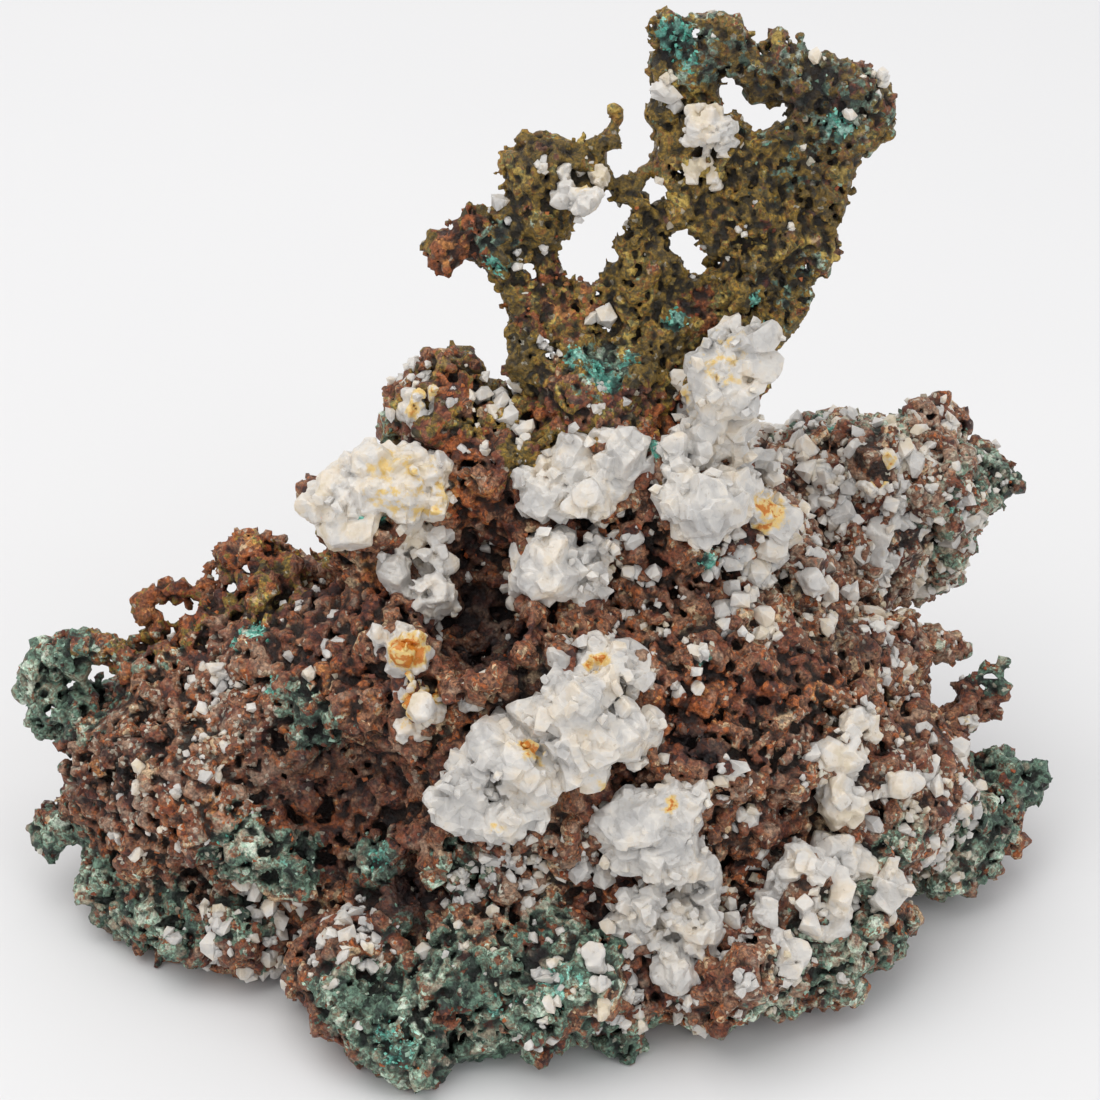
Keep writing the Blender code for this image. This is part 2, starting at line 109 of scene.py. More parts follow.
# The camera stands 33 degrees above the floor and 400 mm from its target, where a pixel spans PIXEL metres.
CAMERA_ELEVATION = 33.0
CAMERA_DISTANCE = 0.400
CAMERA_TARGET = (0.00133, -0.00082, 0.049)
IMAGE_SIDE = 1100
PIXEL = 0.116e-3
SENSOR_MM = 36.0


# ------------------------------------------------------------------ small helpers
def smooth_step(values: Array) -> Array:
    """Clamps to 0..1 and eases both ends.

    Args:
        values: any numbers.

    Returns:
        The eased numbers.
    """
    clamped = np.clip(values, 0.0, 1.0)
    return clamped * clamped * (3.0 - 2.0 * clamped)


def unit(vectors: Array) -> Array:
    """Scales rows to length one.

    Args:
        vectors: an (n, 3) array.

    Returns:
        The same directions with length one.
    """
    return vectors / np.maximum(np.linalg.norm(vectors, axis=-1, keepdims=True), 1e-12)


def vertex_places(obj: Obj) -> Array:
    """The object's vertex places as an (n, 3) array."""
    places = np.empty(len(obj.data.vertices) * 3, np.float32)
    obj.data.vertices.foreach_get("co", places)
    return places.reshape(-1, 3)


def triangles_of(obj: Obj) -> Array:
    """The object's triangles as an (n, 3) array of vertex numbers."""
    obj.data.calc_loop_triangles()
    corners = np.empty(len(obj.data.loop_triangles) * 3, np.int32)
    obj.data.loop_triangles.foreach_get("vertices", corners)
    return corners.reshape(-1, 3).astype(np.int64)


def welded(obj: Obj) -> Pair:
    """Reads an object's points, each place once, and its triangles.

    Args:
        obj: a mesh object whose place is in its vertices.

    Returns:
        The points as (n, 3) float32 and the triangles as (m, 3) int64.
    """
    points = vertex_places(obj)
    keys = np.round(points / WELD).astype(np.int64)
    _, first, index = np.unique(keys, axis=0, return_index=True, return_inverse=True)
    return points[first], index.reshape(-1)[triangles_of(obj)]


def merged(meshes: Iterable[Pair]) -> Pair:
    """Puts several meshes into one.

    Args:
        meshes: the points and faces of each.

    Returns:
        All points, and all faces renumbered to match.
    """
    points, faces, start = [], [], 0
    for corners, sides in meshes:
        points.append(corners)
        faces.append(sides + start)
        start += len(corners)
    return np.concatenate(points), np.concatenate(faces)


def face_crosses(points: Array, faces: Array) -> Array:
    """Each triangle's outward normal, twice as long as its area."""
    corners = points[faces]
    return np.cross(corners[:, 1] - corners[:, 0], corners[:, 2] - corners[:, 0])


def mesh_area(points: Array, faces: Array) -> float:
    """The area of a triangle mesh in square metres."""
    return float(np.linalg.norm(face_crosses(points, faces), axis=1).sum() / 2)


def surface_samples(points: Array, faces: Array, count: int, rng: Rng) -> Pair:
    """Picks places on a mesh, spread by area.

    Args:
        points: the mesh's points.
        faces: its triangles.
        count: how many places.
        rng: the seeded generator.

    Returns:
        The places and the outward normals there.
    """
    cross = face_crosses(points, faces)
    area = np.linalg.norm(cross, axis=1)
    chosen = rng.choice(len(faces), count, p=area / area.sum())
    a, b = rng.random((2, count, 1))
    over = a + b > 1.0
    a, b = np.where(over, 1 - a, a), np.where(over, 1 - b, b)
    picked = points[faces[chosen]]
    spots = picked[:, 0] * (1 - a - b) + picked[:, 1] * a + picked[:, 2] * b
    return spots, unit(cross[chosen])


def trilinear(table: Array, low: Array, high: Array, part: Array) -> Array:
    """Blends the eight numbers of a 3-D table that lie round each place.

    Args:
        table: the table.
        low: (n, 3) indices of the lower corners.
        high: (n, 3) indices of the upper corners.
        part: (n, 3) shares of the way from the lower to the upper.

    Returns:
        One number a place.
    """
    total = np.zeros(len(part), np.float32)
    for corner in range(8):
        pick = [(corner >> axis) & 1 for axis in range(3)]
        index = [(high if pick[axis] else low)[:, axis] for axis in range(3)]
        weight = np.ones(len(part), np.float32)
        for axis in range(3):
            weight = weight * (part[:, axis] if pick[axis] else 1 - part[:, axis])
        total += weight * table[index[0], index[1], index[2]]
    return total


def new_mesh_object(name: str, points: Array, faces: Array, smooth: bool) -> Obj:
    """Makes a mesh object from arrays.

    Args:
        name: the piece's name.
        points: (n, 3) points in metres.
        faces: (m, 3) triangles or (m, 4) quads.
        smooth: whether the faces are shaded smooth.

    Returns:
        The linked object.
    """
    mesh = bpy.data.meshes.new(name)
    sides = faces.shape[1]
    mesh.vertices.add(len(points))
    mesh.vertices.foreach_set("co", np.ascontiguousarray(points, np.float32).ravel())
    mesh.loops.add(faces.size)
    mesh.loops.foreach_set("vertex_index", np.ascontiguousarray(faces, np.int32).ravel())
    mesh.polygons.add(len(faces))
    mesh.polygons.foreach_set("loop_start", np.arange(0, faces.size, sides, dtype=np.int32))
    mesh.polygons.foreach_set("use_smooth", np.full(len(faces), smooth))
    mesh.update(calc_edges=True)
    obj = bpy.data.objects.new(name, mesh)
    bpy.context.scene.collection.objects.link(obj)
    return obj


def set_attribute(obj: Obj, name: str, values: Array) -> None:
    """Stores one number a vertex on a mesh.

    Args:
        obj: the mesh object.
        name: the attribute's name, which its material reads.
        values: one number a vertex.
    """
    layer = obj.data.attributes.new(name, "FLOAT", "POINT")
    layer.data.foreach_set("value", np.ascontiguousarray(values, np.float32))


def main_shells(points: Array, faces: Array, least: int | None) -> Pair:
    """Keeps the connected shell with the most points, or every shell with enough of them.

    Args:
        points: the mesh's points.
        faces: its faces.
        least: how many points a shell needs, or None where only the largest stays.

    Returns:
        The points and faces that stay.
    """
    label = np.arange(len(points))
    ends = np.concatenate([faces[:, [i, (i + 1) % faces.shape[1]]] for i in range(faces.shape[1])])
    while True:
        low = np.minimum(label[ends[:, 0]], label[ends[:, 1]])
        fresh = label.copy()
        np.minimum.at(fresh, ends[:, 0], low)
        np.minimum.at(fresh, ends[:, 1], low)
        fresh = fresh[fresh]
        if np.array_equal(fresh, label):
            break
        label = fresh
    counts = np.bincount(label)
    keep = counts[label] >= least if least else label == counts.argmax()
    renumber = np.cumsum(keep) - 1
    return points[keep], renumber[faces[keep[faces[:, 0]]]]


@dataclass(frozen=True)
class LatticeNoise:
    """Smooth value noise on a repeating random lattice."""

    seed: int

    SIDE = 32
    SHIFT = 0.37
    OCTAVE_STEP = 11

    def at(self, points: Array, cell: float) -> Array:
        """Noise between -1 and 1.

        Args:
            points: (n, 3) places in metres.
            cell: the size of one lattice cell in metres.

        Returns:
            One number a place.
        """
        table = (np.random.default_rng(self.seed).random((self.SIDE,) * 3) * 2 - 1).astype(np.float32)
        scaled = points / cell + self.seed * self.SHIFT
        floor = np.floor(scaled).astype(np.int32)
        blend = smooth_step(scaled - floor).astype(np.float32)
        return trilinear(table, floor % self.SIDE, (floor + 1) % self.SIDE, blend)

    def rough(self, points: Array, cell: float, octaves: int) -> Array:
        """Noise summed over octaves, each half as large and half as strong.

        Args:
            points: (n, 3) places in metres.
            cell: the largest cell in metres.
            octaves: how many layers.

        Returns:
            One number a place, about -1 to 1.
        """
        total = np.zeros(len(points), np.float32)
        for octave in range(octaves):
            layer = LatticeNoise(self.seed + self.OCTAVE_STEP * octave)
            total += layer.at(points, cell / 2**octave) * 0.5**octave
        return total


# ------------------------------------------------------------------ distance grids
class DistanceGrid:
    """A solid held as signed distances on a grid: negative inside, positive outside."""

    # Voxels: how deep distances are exact, how much empty room lies round a solid, and how far past
    # its own size a ball or block changes them. BATCH is how many grid points change at a time.
    BAND = 7
    MARGIN = 14
    BALL_EDGE = 2.2
    BLOCK_EDGE = 2
    BATCH = 1_500_000

    def __init__(self, points: Array, faces: Array, voxel: float, band: int = BAND) -> None:
        """Fills the grid from a closed mesh.

        Args:
            points: the mesh's points in metres.
            faces: its triangles.
            voxel: the grid's pitch in metres.
            band: how many pitches from the surface the distances are exact.
        """
        self.voxel = voxel
        transform = openvdb.createLinearTransform(voxelSize=voxel)
        level = openvdb.FloatGrid.createLevelSetFromPolygons(
            np.ascontiguousarray(points, np.float32),
            triangles=np.ascontiguousarray(faces, np.uint32),
            transform=transform,
            halfWidth=band,
        )
        low, high = level.evalActiveVoxelBoundingBox()
        self.corner = np.array(low) - self.MARGIN
        size = np.array(high) + self.MARGIN + 1 - self.corner
        self.values = np.empty(tuple(size), np.float32)
        level.copyToArray(self.values, ijk=tuple(int(c) for c in self.corner))
        self.limit = voxel * band

    def places(self, index: Array) -> Array:
        """Grid indices to metres.

        Args:
            index: (n, 3) indices into the values.

        Returns:
            The places in metres as float32.
        """
        return ((index + self.corner) * self.voxel).astype(np.float32)

    def band(self, reach: float) -> Pair:
        """The grid points near the surface.

        Args:
            reach: how far from the surface, in metres.

        Returns:
            Their flat indices and their places.
        """
        flat = np.flatnonzero(np.abs(self.values.ravel()) < reach)
        index = np.stack(np.unravel_index(flat, self.values.shape), axis=1)
        return flat, self.places(index)

    def add(self, flat: Array, amount: Array) -> None:
        """Adds an amount to chosen grid points.

        Args:
            flat: flat indices.
            amount: metres to add; positive wears the surface away.
        """
        self.values.ravel()[flat] += amount.astype(np.float32)

    def stamp(
        self,
        centres: Array,
        radii: Array,
        cut: bool,
        stretch: Array | None = None,
        squeeze: float = 1.0,
    ) -> None:
        """Adds balls to the solid or cuts them from it.

        Args:
            centres: (n, 3) places in metres.
            radii: n radii in metres.
            cut: whether the balls are cut away.
            stretch: a direction along which each ball is drawn out, if any.
            squeeze: how many times longer it is along that direction.
        """
        longest = radii * max(1.0, squeeze) + self.BALL_EDGE * self.voxel
        reach = np.ceil(longest / self.voxel).astype(int)
        shape = np.array(self.values.shape)
        values = self.values.ravel()
        for size in np.unique(reach):
            steps = np.stack(np.meshgrid(*[np.arange(-size, size + 1)] * 3, indexing="ij"), -1)
            steps = steps.reshape(-1, 3)
            chosen = np.flatnonzero(reach == size)
            batch = max(1, self.BATCH // len(steps))
            for start in range(0, len(chosen), batch):
                part = chosen[start : start + batch]
                base = np.round(centres[part] / self.voxel).astype(np.int64) - self.corner
                index = base[:, None, :] + steps[None]
                inside = ((index >= 0) & (index < shape)).all(axis=2)
                away = self.places(index.reshape(-1, 3)).reshape(index.shape) - centres[part][:, None]
                if stretch is not None:
                    along = (away * stretch).sum(axis=2, keepdims=True)
                    away = away - along * stretch * (1 - 1 / squeeze)
                gap = np.linalg.norm(away, axis=2) - radii[part][:, None]
                flat = (index[..., 0] * shape[1] + index[..., 1]) * shape[2] + index[..., 2]
                flat, gap = flat[inside], gap[inside].astype(np.float32)
                if cut:
                    np.maximum.at(values, flat, -gap)
                else:
                    np.minimum.at(values, flat, gap)

    def block(self, centre: Array, turn: Array, half: Array, chamfer: float) -> None:
        """Adds one crystal block with cut corners.

        Args:
            centre: its middle in metres.
            turn: a 3x3 rotation whose rows are its own axes.
            half: its half sides in metres.
            chamfer: how much of a corner is cut off, as a share of the mean half side.
        """
        reach = int(math.ceil((float(np.linalg.norm(half)) + self.BLOCK_EDGE * self.voxel) / self.voxel))
        base = np.round(centre / self.voxel).astype(int) - self.corner
        low = np.maximum(base - reach, 0)
        high = np.minimum(base + reach + 1, self.values.shape)
        if (high <= low).any():
            return
        axes = [(np.arange(low[a], high[a]) + self.corner[a]) * self.voxel - centre[a] for a in range(3)]
        grid = np.stack(np.meshgrid(*axes, indexing="ij"), -1).astype(np.float32)
        own = np.abs(grid @ turn.T.astype(np.float32))
        sides = (own - half.astype(np.float32)).max(axis=3)
        corner = (own.sum(axis=3) - half.sum() + chamfer * half.mean()) / math.sqrt(3)
        gap = np.maximum(sides, corner)
        view = self.values[low[0] : high[0], low[1] : high[1], low[2] : high[2]]
        np.minimum(view, gap, out=view)

    def blurred(self, passes: int) -> Array:
        """The values after a box blur.

        Args:
            passes: how many times each axis is averaged over three points.

        Returns:
            A new array.
        """
        soft = self.values.copy()
        for _ in range(passes):
            for axis in range(3):
                soft = (np.roll(soft, 1, axis) + soft * 2 + np.roll(soft, -1, axis)) / 4
        return soft

    def sample(self, array: Array, points: Array) -> Array:
        """Reads an array of this grid's shape at places.

        Args:
            array: numbers on the grid.
            points: (n, 3) places in metres.

        Returns:
            One interpolated number a place.
        """
        scaled = points / self.voxel - self.corner
        floor = np.clip(np.floor(scaled).astype(int), 0, np.array(array.shape) - 2)
        return trilinear(array, floor, floor + 1, (scaled - floor).astype(np.float32))

    def keep_above(self, height: float) -> None:
        """Cuts everything under a height away."""
        levels = (np.arange(self.values.shape[2]) + self.corner[2]) * self.voxel
        np.maximum(self.values, (height - levels).astype(np.float32), out=self.values)

    def keep_side(self, point: Array, direction: Array) -> "DistanceGrid":
        """A copy that holds only what lies on one side of a plane.

        Args:
            point: a point of the plane.
            direction: points towards the side that is kept.

        Returns:
            The new grid.
        """
        half = object.__new__(DistanceGrid)
        half.voxel, half.corner, half.limit = self.voxel, self.corner, self.limit
        axes = [
            ((np.arange(count) + self.corner[axis]) * self.voxel - point[axis]) * direction[axis]
            for axis, count in enumerate(self.values.shape)
        ]
        beyond = -(axes[0][:, None, None] + axes[1][None, :, None] + axes[2][None, None, :])
        half.values = np.maximum(self.values, beyond.astype(np.float32))
        return half

    def to_mesh(self, least: int | None = None) -> Pair:
        """Makes the surface.

        Args:
            least: how many points a loose shell needs to stay, or None to keep only the largest shell.

        Returns:
            The points and quads.
        """
        grid = openvdb.FloatGrid(float(self.limit))
        grid.transform = openvdb.createLinearTransform(voxelSize=self.voxel)
        values = np.clip(self.values, -self.limit, self.limit)
        grid.copyFromArray(values, ijk=tuple(int(c) for c in self.corner))
        points, _, quads = grid.convertToPolygons(isovalue=0.0, adaptivity=0.0)
        points, quads = main_shells(np.array(points), np.array(quads, np.int64), least)
        return points, quads[:, ::-1]


# ------------------------------------------------------------------ where things are
@dataclass(frozen=True)
class Viewpoint:
    """Where the object is seen from, and how a place in the picture becomes a line of sight."""

    elevation: float = CAMERA_ELEVATION
    distance: float = CAMERA_DISTANCE
    target: tuple[float, float, float] = CAMERA_TARGET

    def back(self) -> Vector:
        """The direction from the target to the camera."""
        rise = math.radians(self.elevation)
        return Vector((0.0, -math.cos(rise), math.sin(rise)))

    def place(self) -> Vector:
        """Where the camera stands."""
        return Vector(self.target) + self.back() * self.distance

    def sight(self, across: float, down: float) -> Vector:
        """The direction from the camera through a place in the picture.

        Args:
            across: pixels from the left edge.
            down: pixels from the top edge.

        Returns:
            A direction of length one.
        """
        rise = math.radians(self.elevation)
        up = Vector((0.0, math.sin(rise), math.cos(rise)))
        aim = Vector((1.0, 0.0, 0.0)) * ((across - IMAGE_SIDE / 2) * PIXEL)
        aim += up * ((IMAGE_SIDE / 2 - down) * PIXEL)
        return (aim - self.back() * self.distance).normalized()

    def camera(self) -> None:
        """Makes the scene's camera here."""
        data = bpy.data.cameras.new("camera")
        data.sensor_width = SENSOR_MM
        data.lens = SENSOR_MM * self.distance / (PIXEL * IMAGE_SIDE)
        data.clip_start, data.clip_end = 0.01, 20.0
        camera = bpy.data.objects.new("camera", data)
        bpy.context.scene.collection.objects.link(camera)
        camera.location = self.place()
        camera.rotation_mode = "QUATERNION"
        camera.rotation_quaternion = (-self.back()).to_track_quat("-Z", "Y")
        bpy.context.scene.camera = camera


class Solids:
    """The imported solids, read once, with the lines of sight that meet them."""

    SEARCH_RINGS = (0, 5, 10, 16)

    def __init__(self, frame: dict) -> None:
        """Reads every node.
        """
        self.view = Viewpoint()
        self.arrays = {name: welded(obj) for name, obj in frame["nodes"].items()}
        points, faces = merged(self.arrays.values())
        self.tree = BVHTree.FromPolygons(points.tolist(), faces.tolist())
        low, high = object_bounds()
        self.low, self.high = np.array(low), np.array(high)

    def crystal_nodes(self) -> list[str]:
        """The names of the crystal solids, in order."""
        return sorted(name for name in self.arrays if name.startswith("crystals_"))

    def seen(self, across: float, down: float) -> Array | None:
        """The place on the solids that a line of sight meets first.

        Args:
            across: pixels from the left edge of the picture.
            down: pixels from its top edge.

        Returns:
            The place in metres, or None where the line misses everything near it.
        """
        origin = self.view.place()
        for ring in self.SEARCH_RINGS:
            for step in range(8 if ring else 1):
                angle = step * math.pi / 4
                aside, below = ring * math.cos(angle), ring * math.sin(angle)
                hit = self.tree.ray_cast(origin, self.view.sight(across + aside, down + below))[0]
                if hit is not None:
                    return np.array(hit)
        return None


class Tint(Enum):
    """What a patch does to the surface there."""

    MALACHITE = "malachite"
    TURQUOISE = "turquoise"
    OLIVE = "olive"
    RUST = "rust"
    # Darker copper, and painted shade over deep hollows and crevices.
    DARK = "dark"
    PALE = "pale"
    STAIN = "stain"
    SPONGE = "sponge"
    CRYSTALS = "crystals"
    BROKEN = "broken"


@dataclass(frozen=True)
class Patch:
    """A round patch where the surface is seen at a place of the picture."""

    across: float
    down: float
    radius_mm: float
    strength: float


@dataclass(frozen=True)
class Belt:
    """An egg-shaped part of space where the surface takes a tint, on every side."""

    centre_mm: tuple[float, float, float]
    radii_mm: tuple[float, float, float]
    strength: float


def patches(*rows: tuple) -> tuple[Patch, ...]:
    """Makes patches from (across, down, radius in mm, strength) rows."""
    return tuple(Patch(*row) for row in rows)


PATCHES: dict[Tint, tuple[Patch, ...]] = {
    Tint.MALACHITE: patches(
        (850, 110, 7, 0.55), (790, 150, 6, 0.35), (700, 60, 5, 0.5), (825, 290, 5, 0.5), (745, 380, 4, 0.5),
        (600, 370, 4, 0.9), (500, 245, 4, 0.5), (300, 705, 3.5, 0.8), (320, 725, 4, 0.8),
        (245, 860, 6, 0.9), (290, 865, 5, 0.9), (375, 862, 4, 0.9), (60, 850, 6, 0.9), (100, 905, 8, 0.8),
        (160, 930, 7, 0.8), (240, 915, 6, 0.6), (45, 690, 8, 1.0), (90, 725, 4, 0.7), (380, 1010, 7, 1.0),
        (400, 1060, 7, 1.0), (450, 965, 6, 0.8), (520, 990, 8, 0.95), (585, 960, 6, 1.0),
        (600, 1040, 7, 0.9), (480, 1050, 7, 1.0), (550, 925, 4, 0.8), (340, 1000, 5, 1.0),
        (650, 1050, 6, 0.8), (760, 1005, 7, 0.6), (850, 955, 8, 0.75), (930, 890, 8, 0.8),
        (980, 830, 8, 0.85), (1035, 785, 6, 1.0), (1000, 760, 5, 0.8), (1000, 660, 5, 0.9),
        (870, 905, 6, 0.7), (800, 955, 6, 0.65), (900, 845, 5, 0.6), (985, 480, 7, 0.8), (960, 560, 7, 0.7),
        (880, 415, 5, 0.6), (800, 430, 5, 0.5), (465, 870, 5, 0.75), (430, 800, 3, 0.6), (385, 425, 4, 0.6),
        (900, 960, 6, 0.8), (400, 930, 4, 0.5), (155, 660, 4, 0.4),
    ),
    Tint.TURQUOISE: patches(
        (675, 35, 2.4, 1.0), (686, 58, 1.7, 0.9), (838, 125, 1.9, 0.9), (752, 298, 1.2, 1.0),
        (768, 330, 1.3, 0.9), (675, 320, 1.5, 0.8), (600, 378, 2.4, 0.8), (575, 358, 1.6, 0.7),
        (630, 362, 1.5, 0.7), (655, 449, 1.4, 0.9), (708, 560, 1.5, 0.9), (705, 656, 1.2, 1.0),
        (497, 264, 1.3, 0.9), (340, 540, 1.6, 0.9), (357, 528, 1.6, 1.0), (376, 516, 1.6, 1.0),
        (394, 506, 1.4, 0.9), (252, 637, 2.0, 1.0), (278, 690, 1.7, 0.9), (240, 645, 1.2, 0.8),
        (830, 432, 1.6, 0.7), (938, 508, 1.6, 0.7), (985, 655, 1.6, 0.7), (380, 858, 2.0, 0.7),
        (232, 850, 1.8, 0.6), (560, 985, 3.0, 0.45), (395, 1045, 3.0, 0.5), (500, 1000, 2.5, 0.45),
        (620, 560, 1.0, 0.6),
    ),
    Tint.OLIVE: patches(
        (520, 400, 5, 0.9), (530, 450, 4, 0.9), (525, 360, 5, 1.0), (440, 400, 8, 0.7), (490, 365, 6, 0.8),
        (385, 430, 4, 0.6), (330, 540, 5, 0.5), (255, 575, 7, 0.7), (170, 610, 8, 0.8), (105, 640, 6, 0.7),
        (310, 540, 4, 0.6), (600, 330, 9, 1.0), (640, 340, 7, 0.9),
    ),
    Tint.RUST: patches(
        (131, 671, 3, 0.8), (244, 678, 3, 0.8), (203, 709, 4, 0.6), (223, 821, 4, 0.9),
        (264, 835, 3.5, 1.0), (94, 763, 3, 0.6), (121, 875, 3, 0.7), (172, 821, 4, 0.7),
        (325, 665, 3.5, 0.7), (298, 733, 3, 0.5), (660, 420, 4, 0.6), (700, 310, 3, 0.7),
        (640, 440, 4, 0.6), (450, 460, 4, 0.8), (600, 480, 3, 0.5), (690, 700, 4, 0.8), (720, 690, 4, 0.7),
        (840, 690, 4, 0.5), (600, 900, 3, 0.5), (760, 880, 3, 0.5), (680, 715, 4.5, 0.9),
        (650, 735, 3, 0.8), (455, 385, 3, 0.7), (475, 500, 4, 0.8), (545, 415, 3, 0.7),
        (290, 825, 3.0, 1.0), (250, 560, 5, 0.7), (180, 600, 7, 0.7), (130, 660, 4, 0.6),
        (440, 245, 7, 0.8), (722, 335, 3, 0.8), (560, 300, 6, 0.5), (200, 790, 9, 0.35), (330, 830, 5, 0.6),
        (120, 840, 6, 0.5), (380, 575, 4, 0.6), (760, 690, 5, 0.4), (640, 620, 4, 0.4), (350, 690, 4, 0.6),
        (110, 620, 3, 0.7), (230, 830, 5, 0.6), (700, 860, 4, 0.5), (600, 540, 2, 0.6), (820, 700, 5, 0.35),
    ),
    # Darker copper, as on the sheet's top, and painted shade over the deep hollow in the middle and other
    # crevices and holes.
    Tint.DARK: patches(
        (480, 615, 5.5, 0.9), (500, 660, 5.5, 0.9), (455, 560, 4, 0.8), (405, 905, 4.5, 1.0),
        (400, 870, 3.5, 0.9), (690, 740, 2.4, 1.0), (715, 752, 2.0, 1.0), (808, 800, 2.0, 0.9),
        (325, 775, 9, 0.50), (530, 690, 4, 0.8), (850, 645, 4, 0.6), (540, 955, 1.6, 0.9),
        (500, 972, 1.6, 0.9), (770, 705, 1.6, 0.8), (700, 600, 1.5, 0.7), (345, 860, 4, 0.6),
        (565, 560, 2, 0.6), (785, 870, 2, 0.7), (430, 640, 4, 0.5), (800, 75, 6, 0.52), (850, 110, 6, 0.50),
        (840, 170, 5, 0.44), (740, 60, 5, 0.42), (690, 50, 4, 0.38), (740, 380, 4, 0.35),
        (545, 160, 4, 0.30), (610, 120, 2, 0.35), (470, 680, 3, 0.6), (1000, 470, 6, 0.30),
    ),
    Tint.PALE: patches(
        (200, 740, 12, 0.7), (130, 780, 10, 0.6), (200, 850, 10, 0.5), (900, 510, 18, 0.8),
        (830, 560, 12, 0.8), (860, 800, 14, 0.5), (820, 930, 12, 0.6), (520, 860, 8, 0.6),
        (230, 690, 7, 0.8), (930, 850, 10, 0.6),
    ),
    Tint.SPONGE: patches(
        (740, 650, 12, 1.0), (800, 700, 12, 1.0), (700, 600, 8, 0.9), (740, 760, 9, 1.0),
        (690, 820, 7, 0.8), (640, 430, 7, 0.7), (660, 640, 8, 0.7), (870, 700, 9, 0.8), (720, 870, 7, 0.7),
        (330, 570, 6, 0.5),
    ),
    Tint.CRYSTALS: patches(
        (900, 500, 12, 1.0), (850, 560, 12, 1.0), (780, 540, 9, 1.0), (800, 480, 8, 1.0),
        (940, 520, 7, 0.9), (740, 480, 7, 0.9), (930, 570, 8, 0.9), (860, 620, 6, 0.8), (960, 470, 6, 0.5),
        (740, 590, 7, 0.8), (800, 625, 6, 0.6), (860, 760, 8, 0.7), (900, 800, 8, 0.7), (930, 850, 8, 0.8),
        (820, 900, 9, 0.6), (760, 900, 8, 0.6), (700, 930, 8, 0.7), (820, 980, 8, 0.5), (700, 1010, 7, 0.6),
        (620, 1000, 6, 0.6), (530, 870, 7, 1.0), (570, 860, 5, 0.9), (480, 630, 6, 0.45),
        (500, 580, 5, 0.5), (480, 700, 4, 0.5), (650, 640, 6, 0.55), (690, 660, 5, 0.5),
        (540, 1000, 7, 0.5), (450, 930, 8, 0.55), (340, 930, 7, 0.9), (270, 940, 7, 0.8),
        (200, 950, 6, 0.6), (230, 700, 6, 0.6), (180, 780, 9, 0.35), (130, 860, 8, 0.3), (400, 380, 4, 1.0),
        (480, 430, 6, 0.7), (500, 400, 4, 0.6), (320, 650, 5, 0.35), (290, 600, 4, 0.4), (730, 800, 6, 0.5),
        (640, 560, 4, 0.6), (960, 780, 7, 0.8), (510, 215, 2.2, 1.0), (543, 157, 2.0, 1.0),
        (542, 345, 2.6, 1.0), (600, 320, 2, 0.7), (870, 95, 3, 0.45), (675, 90, 2.5, 0.9),
        (525, 265, 2.0, 0.7), (690, 250, 1.6, 0.6), (655, 188, 1.6, 0.7), (610, 400, 3, 0.4),
        (330, 470, 6, 0.4), (950, 650, 4, 0.6), (890, 680, 5, 0.5), (560, 940, 5, 0.4),
    ),
    Tint.BROKEN: patches(
        (750, 480, 5.0, 1.0), (772, 540, 5.0, 1.0), (728, 548, 4.5, 0.9), (440, 690, 4.5, 1.0),
        (480, 655, 4.0, 1.0), (425, 740, 3.0, 1.0), (520, 635, 2.6, 0.8), (430, 830, 2.0, 0.8),
        (668, 905, 1.4, 1.0), (640, 872, 1.3, 1.0), (702, 850, 1.4, 1.0), (625, 945, 1.9, 1.0),
        (692, 945, 1.5, 1.0), (615, 860, 1.8, 1.0), (655, 975, 2.0, 0.9), (715, 900, 1.6, 0.9),
        (310, 510, 2.5, 0.8),
    ),
    Tint.STAIN: patches(
        (767, 515, 1.6, 1.0), (760, 500, 1.0, 0.8), (880, 468, 1.7, 0.9), (405, 652, 1.9, 1.0),
        (425, 640, 1.0, 0.7), (405, 712, 1.6, 1.0), (425, 692, 1.4, 0.9), (597, 660, 1.1, 1.0),
        (528, 750, 1.1, 1.0), (535, 762, 0.8, 0.9), (672, 805, 0.8, 0.9), (587, 177, 1.4, 0.9),
        (615, 780, 0.7, 1.0), (583, 738, 0.5, 0.7), (560, 800, 1.5, 0.45), (425, 395, 1.8, 0.6),
        (415, 410, 1.2, 0.5), (400, 480, 3.0, 0.5), (720, 360, 2.5, 0.35), (700, 400, 1.8, 0.5),
        (545, 548, 1.0, 0.5), (960, 700, 3.0, 0.35), (496, 827, 0.6, 0.6), (430, 500, 2.0, 0.5),
        (590, 790, 2.0, 0.3),
    ),
}

BELTS: dict[Tint, tuple[Belt, ...]] = {
    Tint.MALACHITE: (
        Belt((0, 0, -6), (75, 52, 16), 0.55),
        Belt((-58, 6, 26), (12, 14, 16), 0.7),
        Belt((58, 20, 36), (14, 18, 18), 0.55),
        Belt((0, 34, 8), (50, 16, 14), 0.6),
        Belt((30, 16, 108), (26, 12, 12), 0.4),
    ),
    Tint.OLIVE: (Belt((10, 12, 88), (40, 22, 30), 1.0), Belt((-18, 20, 48), (18, 16, 14), 0.5)),
    Tint.RUST: (Belt((-20, 30, 30), (26, 14, 16), 0.4), Belt((25, 30, 20), (20, 14, 12), 0.3)),
    Tint.CRYSTALS: (
        Belt((36, 24, 38), (28, 20, 18), 0.85),
        Belt((0, 40, 20), (60, 16, 22), 0.3),
        Belt((20, 20, 90), (30, 30, 30), 0.05),
    ),
    Tint.SPONGE: (Belt((10, 10, 88), (45, 25, 32), 0.6), Belt((0, 40, 30), (50, 18, 30), 0.6)),
    Tint.PALE: (Belt((36, 24, 38), (28, 20, 18), 0.6),),
}


